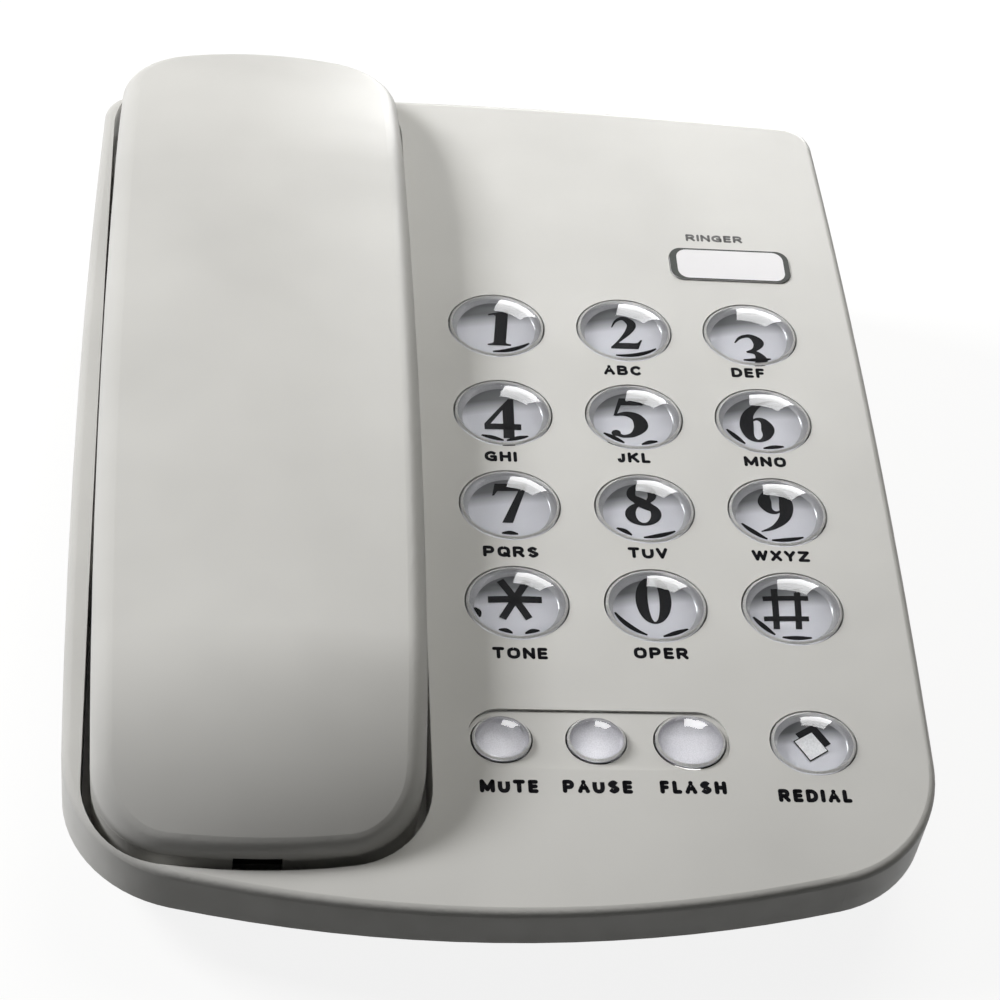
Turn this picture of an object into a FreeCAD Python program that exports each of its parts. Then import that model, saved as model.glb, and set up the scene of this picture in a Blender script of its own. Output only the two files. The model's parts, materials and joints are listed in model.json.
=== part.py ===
import FreeCAD, Part
import math
import os
import types

import Sketcher
from FreeCAD import Placement, Rotation, Vector

# Corded desk telephone: a wedge-shaped base with a sloping keypad face, and a handset that lies in a cradle
# along its left side, with its ear end a little past the base's rear. Millimetres. X runs to the right, Y to
# the rear and Z up from the desk. Everything is drawn about the middle of the base and moved at the end so that
# the origin lies under the middle of the whole.
# Most pieces are drawn in one of two leaning frames. The face frame has its origin on the keypad face above
# the middle of the base: x to the right, y up along the face, z out of it. The cradle frame is the same, with
# its origin on the face under the middle of the handset.

SIZES = {
    # Base outline, bowed on all four sides
    "base_width": 157.0,
    "base_depth": 193.4,
    "side_bow_radius": 1970.0,
    "side_bow_middle": -8.0,
    "rear_bow_radius": 1000.0,
    "front_bow_radius": 250.0,
    "rear_corner_radius": 6.5,
    "front_corner_radius": 25.0,
    # Wedge and shells
    "face_lean": 8.0,
    "face_height": 35.0,
    "belt_height": 13.0,
    "seam_height": 4.0,
    "foot_front_inset": 8.0,
    "foot_side_inset": 4.0,
    "cover_wall": 2.4,
    "face_edge_radius": 1.5,
    "seam_inset": 0.5,
    "seam_gap": 0.1,
    "foot_lift": 2.0,
    "lip_height": 1.6,
    "lip_thickness": 1.2,
    "lip_clearance": 0.15,
    # Handset outline and its place on the face
    "handset_x": -43.9,
    "handset_front_inset": 8.5,
    "handset_width": 60.0,
    "handset_length": 190.0,
    "handset_side_radius": 2200.0,
    "handset_end_radius": 120.0,
    "handset_corner_radius": 15.0,
    "handset_top": 15.8,
    "crown_radius": 150.0,
    "crown_reach": 58.0,
    "crown_front_radius": 62.0,
    "crown_rear_radius": 88.0,
    "handset_edge_radius": 4.5,
    "cap_edge_radius": 3.0,
    "cap_depth": 10.0,
    "grip_underside": 2.0,
    "grip_reach": 32.0,
    "grip_ramp": 9.0,
    "handset_wall": 2.2,
    "handset_split": 0.6,
    # Cradle
    "cradle_gap": 0.6,
    "cradle_front_gap": 1.6,
    "cradle_side_radius": 9000.0,
    "cradle_floor_gap": 1.0,
    "bridge_depth": 3.8,
    # Dial keys
    "column_pitch": 26.0,
    "row_pitch": 22.5,
    "column_middle": 29.6,
    "key_half_width": 9.5,
    "key_half_depth": 8.0,
    "key_rise": 3.2,
    "key_clearance": 0.3,
    "key_flange": 1.0,
    "key_flange_thickness": 1.2,
    "key_travel": 1.5,
    "key_stop_gap": 0.1,
    "key_post_radius": 2.2,
    "key_post_length": 0.8,
    # Function keys
    "function_row": -63.0,
    "function_first": -1.0,
    "function_pitch": 17.0,
    "function_half_width": 5.3,
    "function_half_depth": 4.6,
    "function_rise": 2.6,
    "function_flange": 0.6,
    "flash_half_width": 6.4,
    "flash_half_depth": 5.4,
    "redial_half_width": 7.8,
    "redial_half_depth": 6.5,
    "redial_rise": 2.8,
    "tray_recess_depth": 0.5,
    "tray_recess_margin": 0.7,
    # Ringer window
    "lens_width": 25.3,
    "lens_depth": 8.6,
    "lens_corner_radius": 2.8,
    "lens_x": 53.6,
    "lens_along": 52.6,
    "lens_clearance": 0.15,
    "lens_proud": 0.3,
    "lens_flange": 1.2,
    "lamp_radius": 2.4,
    # Rubber mat and main board
    "dome_rest": 0.6,
    "dome_top_radius": 2.8,
    "dome_foot_radius": 4.2,
    "mat_thickness": 0.8,
    "mat_gap": 0.05,
    "mat_left": -8.6,
    "mat_right": 61.5,
    "mat_front": -70.0,
    "mat_rear": 43.0,
    "board_thickness": 1.6,
    "board_left": -9.6,
    "board_right": 62.5,
    "board_front": -77.0,
    "board_rear_inset": 30.7,
    "board_post_radius": 2.6,
    "board_post_inset": 3.8,
    "board_screw_radius": 1.1,
    "board_screw_head_radius": 2.3,
    "board_screw_head_height": 1.5,
    # Parts under the main board
    "chip_length": 22.0,
    "chip_width": 8.0,
    "chip_height": 3.4,
    "crystal_length": 10.0,
    "crystal_width": 4.5,
    "crystal_height": 3.5,
    "capacitor_radius": 3.2,
    "capacitor_height": 7.0,
    # Screws, feet and mounts of the base
    "screw_radius": 1.4,
    "screw_head_radius": 2.8,
    "screw_head_height": 2.0,
    "screw_clearance": 0.1,
    "screw_length": 10.0,
    "boss_radius": 3.6,
    "boss_root": 1.2,
    "screw_x": 67.0,
    "front_right_screw_y": -52.0,
    "front_left_screw_y": -28.0,
    "rear_screw_inset": 28.7,
    "foot_radius": 6.5,
    "foot_recess": 0.6,
    "foot_x": 59.0,
    "front_foot_y": -73.0,
    "rear_foot_inset": 16.7,
    "keyhole_spacing": 83.0,
    "keyhole_radius": 4.0,
    "keyhole_slot_width": 4.4,
    "keyhole_slot_length": 7.0,
    # Hook switch and its plunger
    "plunger_along": 47.0,
    "plunger_travel": 4.0,
    "plunger_button_width": 9.0,
    "plunger_button_depth": 7.0,
    "plunger_rod_radius": 2.5,
    "plunger_tip_radius": 1.8,
    "plunger_collar_radius": 4.4,
    "plunger_collar_height": 1.5,
    "plunger_clearance": 0.25,
    "plunger_cap_gap": 0.1,
    "sleeve_wall": 1.4,
    "spring_wire_radius": 0.3,
    "spring_radius": 3.2,
    "spring_turns": 2.5,
    "switch_width": 12.0,
    "switch_height": 6.0,
    # Line board under the cradle
    "line_board_left": -62.0,
    "line_board_right": -14.0,
    "line_board_rear_inset": 4.7,
    "line_board_length": 62.0,
    "line_board_standoff": 3.4,
    # Jacks
    "line_jack_x": -30.0,
    "line_jack_width": 13.5,
    "line_jack_depth": 15.0,
    "line_jack_height": 13.0,
    "line_plug_width": 9.9,
    "line_plug_height": 6.9,
    "line_plug_floor": 4.9,
    "cord_jack_width": 11.2,
    "cord_jack_depth": 14.0,
    "cord_jack_height": 9.8,
    "cord_plug_width": 7.9,
    "cord_plug_height": 6.7,
    "cord_plug_floor": 1.7,
    "plug_reach": 11.0,
    "base_jack_y": 10.0,
    "base_jack_bottom": 13.0,
    "handset_jack_bottom": -7.6,
    "jack_seat_gap": 0.05,
    "jack_end_gap": 0.3,
    # Slide switches in the rear wall
    "tone_switch_x": 22.0,
    "ringer_switch_x": 50.0,
    "slide_switch_z": 24.0,
    "slide_travel": 4.0,
    "slide_stem_width": 4.0,
    "slide_stem_height": 2.8,
    "slide_clearance": 0.3,
    "slide_recess_depth": 1.0,
    "slide_recess_margin": 1.6,
    "slide_plate_thickness": 0.8,
    "slide_body_depth": 5.0,
    "slide_body_height": 7.0,
    # Sounder, ballast and wall hook
    "sounder_x": 36.0,
    "sounder_rear_inset": 36.7,
    "sounder_radius": 13.0,
    "sounder_height": 4.0,
    "sound_hole_radius": 1.0,
    "ballast_x": 36.0,
    "ballast_y": -34.0,
    "ballast_width": 50.0,
    "ballast_depth": 40.0,
    "ballast_thickness": 4.0,
    "hook_along": 26.0,
    "hook_width": 9.0,
    "hook_depth": 12.0,
    "hook_thickness": 1.8,
    # Inside the handset
    "speaker_along": 66.0,
    "speaker_radius": 18.0,
    "speaker_height": 8.0,
    "gasket_thickness": 1.0,
    "microphone_along": -63.0,
    "microphone_radius": 4.9,
    "microphone_height": 6.0,
    "boot_wall": 1.6,
    "weight_width": 34.0,
    "weight_length": 40.0,
    "weight_thickness": 6.0,
    "handset_screw_along": 26.5,
}

os.makedirs("parts", exist_ok=True)
doc = FreeCAD.newDocument("corded_telephone")
sheet = doc.addObject("Spreadsheet::Sheet", "Sizes")


class Size:
    """A dimension, or what follows from several: its value, and the expression that gives it in the document."""

    def __init__(self, value, text):
        self.value = float(value)
        self.text = text

    def __add__(self, other):
        other = as_size(other)
        return Size(self.value + other.value, f"({self.text} + {other.text})")

    def __sub__(self, other):
        other = as_size(other)
        return Size(self.value - other.value, f"({self.text} - {other.text})")

    def __mul__(self, other):
        other = as_size(other)
        return Size(self.value * other.value, f"({self.text} * {other.text})")

    def __truediv__(self, other):
        other = as_size(other)
        return Size(self.value / other.value, f"({self.text} / {other.text})")

    def __radd__(self, other):
        return as_size(other) + self

    def __rsub__(self, other):
        return as_size(other) - self

    def __rmul__(self, other):
        return as_size(other) * self

    def __neg__(self):
        return Size(-self.value, f"(0 - {self.text})")


def as_size(thing):
    return thing if isinstance(thing, Size) else Size(thing, f"({float(thing)!r})")


def sine(angle):
    return Size(math.sin(math.radians(angle.value)), f"sin({angle.text} * 1deg)")


def cosine(angle):
    return Size(math.cos(math.radians(angle.value)), f"cos({angle.text} * 1deg)")


def root(size):
    return Size(math.sqrt(size.value), f"sqrt({size.text})")


def fill_sheet():
    """Write the driving dimensions into the sheet and return them by name."""
    sizes = types.SimpleNamespace()
    for row, (name, value) in enumerate(SIZES.items(), 1):
        sheet.set(f"A{row}", name)
        sheet.set(f"B{row}", str(value))
        sheet.setAlias(f"B{row}", name)
        setattr(sizes, name, Size(value, f"Sizes.{name}"))
    doc.recompute()
    return sizes


S = fill_sheet()
ACROSS = Vector(1, 0, 0)
NODES = []


# Document helpers


def bind(thing, path, size):
    thing.setExpression(path, as_size(size).text)


def place(thing, x, y, z, lean=None):
    """Put a thing at x, y, z, leaning back about the X direction."""
    if lean is not None:
        thing.Placement = Placement(Vector(), Rotation(ACROSS, as_size(lean).value))
        bind(thing, "Placement.Rotation.Angle", lean)
    bind(thing, "Placement.Base.x", x)
    bind(thing, "Placement.Base.y", y)
    bind(thing, "Placement.Base.z", z)
    return thing


def from_face(x, along, out):
    """World place of a point of the face frame."""
    y = along * cosine(S.face_lean) - out * sine(S.face_lean)
    z = S.face_height + along * sine(S.face_lean) + out * cosine(S.face_lean)
    return x, y, z


# The handset's middle: its low end keeps its distance from the front of the base
HANDSET_ALONG = S.handset_length / 2 + S.handset_front_inset - S.base_depth / 2


def from_cradle(x, along, out):
    """World place of a point of the cradle frame."""
    return from_face(S.handset_x + x, HANDSET_ALONG + along, out)


def in_face_frame(thing, x=0, along=0, out=0):
    return place(thing, *from_face(as_size(x), as_size(along), as_size(out)), S.face_lean)


def in_cradle_frame(thing, x=0, along=0, out=0):
    return place(thing, *from_cradle(as_size(x), as_size(along), as_size(out)), S.face_lean)


def new_body(name, seat=None):
    body = doc.addObject("PartDesign::Body", name)
    return seat(body) if seat else body


def box(name, width, depth, height):
    """A box centred on its own x and y, standing on its own z = 0, as a body with one padded sketch."""
    body = new_body(name)
    pad(body, Drawing(body, "XY_Plane").rectangle(0, 0, width, depth), height)
    return body


def tube(name, radius, height, bore=None):
    """A cylinder on its own z axis, with a bore if one is given."""
    body = new_body(name)
    drawing = Drawing(body, "XY_Plane")
    drawing.circle(0, 0, radius)
    if bore is not None:
        drawing.circle(0, 0, bore)
    pad(body, drawing, height)
    return body


def cut(name, base, *tools):
    """Base less the tools."""
    result = doc.addObject("Part::Cut", name)
    result.Base = base
    result.Tool = tools[0] if len(tools) == 1 else fuse(name + "_tools", *tools)
    return result


def fuse(name, *shapes):
    result = doc.addObject("Part::MultiFuse", name)
    result.Shapes = list(shapes)
    return result


def common(name, base, tool):
    result = doc.addObject("Part::Common", name)
    result.Base = base
    result.Tool = tool
    return result


def group(name, *things):
    """Separate solids kept as one piece of the list."""
    result = doc.addObject("Part::Compound", name)
    result.Links = list(things)
    return result


def node(thing, name):
    thing.Label = name
    NODES.append(thing)
    return thing


class Drawing:
    """A sketch on one of a body's own origin planes, whose sizes all follow the sheet."""

    def __init__(self, body, plane, lift=0, drop=0, lean=None):
        self.sketch = body.newObject("Sketcher::SketchObject", body.Name + "_sketch")
        support = [feature for feature in body.Origin.OriginFeatures if feature.Role == plane][0]
        self.sketch.AttachmentSupport = [(support, "")]
        self.sketch.MapMode = "FlatFace"
        if lean is not None:
            turn = Rotation(ACROSS, lean.value)
            self.sketch.AttachmentOffset = Placement(Vector(), turn)
            bind(self.sketch, "AttachmentOffset.Rotation.Angle", lean)
        bind(self.sketch, "AttachmentOffset.Base.z", lift)
        bind(self.sketch, "AttachmentOffset.Base.y", drop)

    def hold(self, kind, *where_and_size):
        """Add a constraint, bound to the last argument where that is a size."""
        *where, size = where_and_size
        if not isinstance(size, Size):
            self.sketch.addConstraint(Sketcher.Constraint(kind, *where_and_size))
            return
        index = self.sketch.addConstraint(Sketcher.Constraint(kind, *where, size.value))
        self.sketch.setExpression(f"Constraints[{index}]", size.text)

    def pin(self, shape, point, x, y):
        self.hold("DistanceX", -1, 1, shape, point, as_size(x))
        self.hold("DistanceY", -1, 1, shape, point, as_size(y))

    def circle(self, x, y, radius):
        x, y, radius = as_size(x), as_size(y), as_size(radius)
        centre = Vector(x.value, y.value, 0)
        shape = self.sketch.addGeometry(Part.Circle(centre, Vector(0, 0, 1), radius.value))
        self.pin(shape, 3, x, y)
        self.hold("Radius", shape, radius)
        return self

    def polygon(self, *corners):
        corners = [(as_size(x), as_size(y)) for x, y in corners]
        points = [Vector(x.value, y.value, 0) for x, y in corners]
        lines = [
            self.sketch.addGeometry(Part.LineSegment(start, points[(i + 1) % len(points)]))
            for i, start in enumerate(points)
        ]
        for i, line in enumerate(lines):
            self.hold("Coincident", line, 2, lines[(i + 1) % len(lines)], 1)
            self.pin(line, 1, *corners[i])
        return self

    def rectangle(self, x, y, width, depth):
        right, up = as_size(width) / 2, as_size(depth) / 2
        return self.polygon((x - right, y - up), (x + right, y - up), (x + right, y + up), (x - right, y + up))

    def arc(self, x, y, radius, start, end):
        circle = Part.Circle(Vector(x, y, 0), Vector(0, 0, 1), radius)
        return self.sketch.addGeometry(Part.ArcOfCircle(circle, start, end))

    def rounded(self, x, y, width, depth, radius):
        """A rectangle with rounded corners."""
        x, y, radius = as_size(x), as_size(y), as_size(radius)
        right, up = as_size(width) / 2 - radius, as_size(depth) / 2 - radius
        chain = []
        quarters = ((1, -1, -90), (1, 1, 0), (-1, 1, 90), (-1, -1, 180))
        for side, end, angle in quarters:
            middle = (x + right * side, y + up * end)
            first, last = math.radians(angle), math.radians(angle + 90)
            corner = self.arc(middle[0].value, middle[1].value, radius.value, first, last)
            self.pin(corner, 3, *middle)
            self.hold("Radius", corner, radius)
            out = Vector(math.cos(last), math.sin(last), 0)
            along = Vector(-out.y, out.x, 0)
            run = 2 * (up if angle in (-90, 90) else right).value
            tip = Vector(middle[0].value, middle[1].value, 0) + out * radius.value
            chain += [corner, self.sketch.addGeometry(Part.LineSegment(tip, tip + along * run))]
        self.join(chain)
        return self

    def slot(self, x, low, high, width):
        """An upright slot between two arc centres."""
        radius = as_size(width) / 2
        x, low, high = as_size(x), as_size(low), as_size(high)
        reach = radius.value
        upper = self.arc(x.value, high.value, reach, 0, math.pi)
        lower = self.arc(x.value, low.value, reach, math.pi, 2 * math.pi)
        left = self.line(x.value - reach, high.value, x.value - reach, low.value)
        right = self.line(x.value + reach, low.value, x.value + reach, high.value)
        for shape, y in ((upper, high), (lower, low)):
            self.pin(shape, 3, x, y)
            self.hold("Radius", shape, radius)
        self.join([upper, left, lower, right])
        return self

    def line(self, x1, y1, x2, y2):
        return self.sketch.addGeometry(Part.LineSegment(Vector(x1, y1, 0), Vector(x2, y2, 0)))

    def join(self, chain):
        for i, shape in enumerate(chain):
            self.hold("Tangent", shape, 2, chain[(i + 1) % len(chain)], 1)

    def bowed(self, sides, corners):
        """A closed outline of four wide arcs (right, rear, left, front), each an (x, y, radius) circle that the
        outline lies inside, with a rounding of the given radius after each."""
        corners = [as_size(corner) for corner in corners]
        facing = (Vector(1, 1, 0), Vector(-1, 1, 0), Vector(-1, -1, 0), Vector(1, -1, 0))
        hubs = [
            corner_hub(sides[i], sides[(i + 1) % 4], corners[i].value, facing[i]) for i in range(4)
        ]
        chain = []
        for i, (x, y, radius) in enumerate(sides):
            middle = Vector(x.value, y.value, 0)
            following = sides[(i + 1) % 4]
            turn_start = bearing(middle, hubs[i])
            turn_end = bearing(Vector(following[0].value, following[1].value, 0), hubs[i])
            side = self.arc(x.value, y.value, radius.value, bearing(middle, hubs[i - 1]), turn_start)
            corner = self.arc(hubs[i].x, hubs[i].y, corners[i].value, turn_start, turn_end)
            self.pin(side, 3, x, y)
            self.hold("Radius", side, radius)
            self.hold("Radius", corner, corners[i])
            chain += [side, corner]
        self.join(chain)
        return self


def bearing(origin, point):
    return math.atan2(point.y - origin.y, point.x - origin.x)


def corner_hub(first, second, radius, facing):
    """Centre of the rounding between two wide arcs: it lies its radius inside both."""
    a = Vector(first[0].value, first[1].value, 0)
    b = Vector(second[0].value, second[1].value, 0)
    reach_a, reach_b = first[2].value - radius, second[2].value - radius
    apart = b - a
    share = (reach_a**2 - reach_b**2 + apart.Length**2) / (2 * apart.Length)
    rise = math.sqrt(reach_a**2 - share**2)
    along = apart / apart.Length
    square = Vector(-along.y, along.x, 0)
    hubs = [a + along * share + square * rise * sign for sign in (1, -1)]
    return max(hubs, key=facing.dot)


def pad(body, drawing, length, midplane=False, down=False):
    feature = body.newObject("PartDesign::Pad", body.Name + "_pad")
    feature.Profile = drawing.sketch
    feature.Midplane = midplane
    feature.Reversed = down
    bind(feature, "Length", length)
    return feature


def pocket(body, drawing, length=None, midplane=False, up=False):
    """Cut a drawing into its body: through everything, or to a depth. It cuts downwards unless up is true."""
    feature = body.newObject("PartDesign::Pocket", body.Name + "_pocket")
    feature.Profile = drawing.sketch
    feature.Midplane = midplane
    feature.Reversed = up
    if length is None:
        feature.Type = "ThroughAll"
    else:
        bind(feature, "Length", length)
    return feature


def loft(body, first, second):
    feature = body.newObject("PartDesign::AdditiveLoft", body.Name + "_loft")
    feature.Profile = first.sketch
    feature.Sections = [second.sketch]
    feature.Ruled = True
    return feature


def round_edges(body, test, radius):
    """Round the edges of a body's last feature that pass a test of their middle point and the edge."""
    doc.recompute()
    tip = body.Tip
    names = [
        f"Edge{i}"
        for i, edge in enumerate(tip.Shape.Edges, 1)
        if test(edge.valueAt((edge.FirstParameter + edge.LastParameter) / 2), edge)
    ]
    feature = body.newObject("PartDesign::Fillet", body.Name + "_rounding")
    feature.Base = (tip, names)
    bind(feature, "Radius", radius)
    return feature


# Outlines


def base_outline(drawing, side=0, rear=0, front=0):
    """The base's outline, drawn in by the given amounts."""
    side_hub = S.side_bow_radius - S.base_width / 2
    sides = [
        (-side_hub, S.side_bow_middle, S.side_bow_radius - side),
        (as_size(0), S.base_depth / 2 - S.rear_bow_radius, S.rear_bow_radius - rear),
        (side_hub, S.side_bow_middle, S.side_bow_radius - side),
        (as_size(0), S.front_bow_radius - S.base_depth / 2, S.front_bow_radius - front),
    ]
    at_rear = S.rear_corner_radius * S.rear_corner_radius / (S.rear_corner_radius + rear)
    at_front = S.front_corner_radius * S.front_corner_radius / (S.front_corner_radius + front)
    return drawing.bowed(sides, (at_rear, at_rear, at_front, at_front))


def handset_outline(drawing, left=0, right=0, rear=0, front=0, side_radius=S.handset_side_radius):
    """The handset's outline about its own middle, grown by the given amounts."""
    side_hub = side_radius - S.handset_width / 2
    end_hub = S.handset_end_radius - S.handset_length / 2
    sides = [
        (-side_hub, as_size(0), side_radius + right),
        (as_size(0), -end_hub, S.handset_end_radius + rear),
        (side_hub, as_size(0), side_radius + left),
        (as_size(0), end_hub, S.handset_end_radius + front),
    ]
    corners = [
        S.handset_corner_radius + (as_size(a) + b) / 2
        for a, b in ((right, rear), (left, rear), (left, front), (right, front))
    ]
    return drawing.bowed(sides, corners)


# Top cover of the base


def cover_form(name, inset, drop, edge_radius=None):
    """The solid form of the top cover: a foot that slopes on three sides, upright walls and the leaning face. It
    can be drawn in by inset, with its face dropped, for the space inside."""
    body = new_body(name)
    side, front = S.foot_side_inset + inset, S.foot_front_inset + inset
    foot = base_outline(Drawing(body, "XY_Plane", S.seam_height), side, inset, front)
    waist = base_outline(Drawing(body, "XY_Plane", S.belt_height), inset, inset, inset)
    loft(body, foot, waist)
    pad(body, base_outline(Drawing(body, "XY_Plane", S.belt_height), inset, inset, inset), S.base_depth / 2)
    if drop.value:
        pad(body, base_outline(Drawing(body, "XY_Plane", S.seam_height), side, inset, front), drop, down=True)
    level = S.face_height - drop / cosine(S.face_lean)
    face = Drawing(body, "XY_Plane", level, lean=S.face_lean)
    pocket(body, face.rectangle(0, 0, S.base_depth * 2, S.base_depth * 2), up=True)
    if edge_radius is not None:
        slope = math.tan(math.radians(S.face_lean.value))

        def on_the_face(middle, edge):
            points = [middle] + [vertex.Point for vertex in edge.Vertexes]
            return all(abs(point.z - level.value - point.y * slope) < 0.01 for point in points)

        round_edges(body, on_the_face, edge_radius)
    return body


FLOOR_DEPTH = S.cap_depth + S.cradle_floor_gap
ABOVE = S.handset_top * 3
WIDE = S.base_width


def cradle_pit(name, grown, solid_side):
    """The pit that the handset lies in: two wells joined by a shallower bridge, in the cradle frame. Grown is
    the wall added round it, and solid_side what is added on the left and rear, where the rim stays solid."""
    body = new_body(name, in_cradle_frame)
    floor = FLOOR_DEPTH + grown
    beside = S.cradle_gap + grown
    rim = S.cradle_gap + solid_side
    outline = handset_outline(
        Drawing(body, "XY_Plane", -floor), rim, beside, rim, S.cradle_front_gap + grown, S.cradle_side_radius
    )
    pad(body, outline, floor + ABOVE)
    bridge_foot = S.grip_reach + S.grip_ramp - beside
    bridge_top = S.bridge_depth + grown
    ramp = floor - bridge_top
    profile = Drawing(body, "YZ_Plane").polygon(
        (-bridge_foot, -floor - 1),
        (bridge_foot, -floor - 1),
        (bridge_foot, -floor),
        (bridge_foot - ramp, -bridge_top),
        (ramp - bridge_foot, -bridge_top),
        (-bridge_foot, -floor),
    )
    pocket(body, profile, WIDE, midplane=True)
    return body


NONE = as_size(0)
cradle = cradle_pit("cradle", NONE, NONE)
cover_block = cover_form("cover_block", NONE, NONE, S.face_edge_radius)
cover_space = cover_form("cover_space", S.cover_wall, S.cover_wall)
cover_core = cut("cover_core", cover_space, cradle_pit("cradle_back", S.cover_wall, S.cover_wall * 4))


# Keys


def oval(name, half_width, half_depth, height):
    """An upright oval prism standing on its own z = 0."""
    edge = doc.addObject("Part::Ellipse", name + "_edge")
    bind(edge, "MajorRadius", half_width)
    bind(edge, "MinorRadius", half_depth)
    prism = doc.addObject("Part::Extrusion", name)
    prism.Base = edge
    prism.DirMode = "Custom"
    prism.Dir = Vector(0, 0, 1)
    prism.Solid = True
    bind(prism, "LengthFwd", height)
    return prism


DOME_SHARE = 2 / math.sqrt(3)
FLANGE_TOP = -(S.cover_wall + S.key_stop_gap)
FLANGE_BOTTOM = FLANGE_TOP - S.key_flange_thickness
POST_BOTTOM = FLANGE_BOTTOM - S.key_post_length
DOME_HEIGHT = S.key_travel + S.dome_rest
MAT_TOP = POST_BOTTOM - S.mat_gap - DOME_HEIGHT
BOARD_TOP = MAT_TOP - S.mat_thickness
BOARD_BOTTOM = BOARD_TOP - S.board_thickness


def make_key(name, x, along, half_width, half_depth, rise, flange):
    """A clear key: an oval stem with a domed top, a flange that stops it under the cover, and a short post on
    the rubber dome below. The dome is the top quarter of an ellipsoid, cut where it is as wide as the stem."""
    stem = oval(name + "_stem", half_width, half_depth, rise * 2 - FLANGE_TOP)
    in_face_frame(stem, x, along, FLANGE_TOP)
    ball = doc.addObject("Part::Ellipsoid", name + "_ball")
    bind(ball, "Radius1", rise * 2)
    bind(ball, "Radius2", half_width * DOME_SHARE)
    bind(ball, "Radius3", half_depth * DOME_SHARE)
    in_face_frame(ball, x, along, -rise)
    brim = oval(name + "_brim", half_width + flange, half_depth + flange, S.key_flange_thickness)
    in_face_frame(brim, x, along, FLANGE_BOTTOM)
    post = tube(name + "_post", S.key_post_radius, S.key_post_length)
    in_face_frame(post, x, along, POST_BOTTOM)
    return node(fuse(name, common(name + "_dome", stem, ball), brim, post), name)


def dial_place(column, row):
    x = S.column_middle + S.column_pitch * (column - 1)
    return x, S.row_pitch * (1.5 - row)


DIAL_NAMES = (("1", "2", "3"), ("4", "5", "6"), ("7", "8", "9"), ("star", "0", "hash"))
KEYS = [
    ("key_" + label, *dial_place(column, row), S.key_half_width, S.key_half_depth, S.key_rise, S.key_flange)
    for row, labels in enumerate(DIAL_NAMES)
    for column, label in enumerate(labels)
]
FUNCTION_KEYS = (
    ("mute", 0, S.function_half_width, S.function_half_depth),
    ("pause", 1, S.function_half_width, S.function_half_depth),
    ("flash", 2, S.flash_half_width, S.flash_half_depth),
)
KEYS += [
    (
        "key_" + label,
        S.function_first + S.function_pitch * place_in_row,
        S.function_row,
        half_width,
        half_depth,
        S.function_rise,
        S.function_flange,
    )
    for label, place_in_row, half_width, half_depth in FUNCTION_KEYS
]
KEYS.append(
    (
        "key_redial",
        S.column_middle + S.column_pitch,
        S.function_row,
        S.redial_half_width,
        S.redial_half_depth,
        S.redial_rise,
        S.function_flange,
    )
)
for key in KEYS:
    make_key(*key)

key_holes = []
for name, x, along, half_width, half_depth, rise, flange in KEYS:
    hole = oval(
        name + "_hole", half_width + S.key_clearance, half_depth + S.key_clearance, S.cover_wall * 4
    )
    key_holes.append(in_face_frame(hole, x, along, S.cover_wall * -2))


# Ringer window


def window_plate(name, margin, height, out):
    body = new_body(name, lambda thing: in_face_frame(thing, S.lens_x, S.lens_along, out))
    drawing = Drawing(body, "XY_Plane")
    width, depth = S.lens_width + margin * 2, S.lens_depth + margin * 2
    pad(body, drawing.rounded(0, 0, width, depth, S.lens_corner_radius + margin), height)
    return body


LENS_FOOT = -(S.cover_wall + S.jack_seat_gap + S.lens_flange)
window_hole = window_plate("window_hole", S.lens_clearance, S.cover_wall * 4, S.cover_wall * -2)
node(
    fuse(
        "ringer_lens",
        window_plate("lens_plate", NONE, S.lens_proud - LENS_FOOT, LENS_FOOT),
        window_plate("lens_brim", S.lens_flange, S.lens_flange, LENS_FOOT),
    ),
    "ringer_lens",
)


def ringer_lamp():
    """A round indicator lamp standing on the main board."""
    length = LENS_FOOT - BOARD_TOP - S.lamp_radius - S.mat_gap * 2
    stem = in_face_frame(tube("lamp_stem", S.lamp_radius, length), S.lens_x, S.lens_along, BOARD_TOP)
    tip = doc.addObject("Part::Sphere", "lamp_tip")
    tip.Angle1 = 0
    bind(tip, "Radius", S.lamp_radius)
    in_face_frame(tip, S.lens_x, S.lens_along, BOARD_TOP + length)
    brim = tube("lamp_brim", S.lamp_radius * 1.2, S.lamp_radius / 3)
    in_face_frame(brim, S.lens_x, S.lens_along, BOARD_TOP)
    return node(fuse("ringer_lamp", stem, tip, brim), "ringer_lamp")


ringer_lamp()


# Rubber mat, main board and their screws


def face_box(name, left, right, front, rear, bottom, height):
    body = box(name, right - left, rear - front, height)
    return in_face_frame(body, (left + right) / 2, (front + rear) / 2, bottom)


mat_sheet = face_box("mat_sheet", S.mat_left, S.mat_right, S.mat_front, S.mat_rear, BOARD_TOP, S.mat_thickness)
domes = []
for name, x, along, *rest in KEYS:
    dome = doc.addObject("Part::Cone", name + "_dome_under")
    bind(dome, "Radius1", S.dome_foot_radius)
    bind(dome, "Radius2", S.dome_top_radius)
    bind(dome, "Height", DOME_HEIGHT)
    domes.append(in_face_frame(dome, x, along, MAT_TOP))
node(fuse("keypad_mat", mat_sheet, *domes), "keypad_mat")

BOARD_REAR = S.base_depth / 2 - S.board_rear_inset
inset = S.board_post_inset
BOARD_POSTS = [
    (x, along)
    for x in (S.board_left + inset, S.board_right - inset)
    for along in (S.board_front + inset, BOARD_REAR - inset)
]


def at_board_posts(name, radius, height, out, bore=None):
    return [
        in_face_frame(tube(f"{name}_{i}", radius, height, bore), x, along, out)
        for i, (x, along) in enumerate(BOARD_POSTS, 1)
    ]


board_blank = face_box(
    "board_blank", S.board_left, S.board_right, S.board_front, BOARD_REAR, BOARD_BOTTOM, S.board_thickness
)
screw_way = S.board_screw_radius + S.screw_clearance
board_holes = at_board_posts("board_hole", screw_way, S.board_thickness * 3, BOARD_BOTTOM - S.board_thickness)
node(cut("main_board", board_blank, *board_holes), "main_board")

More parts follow.
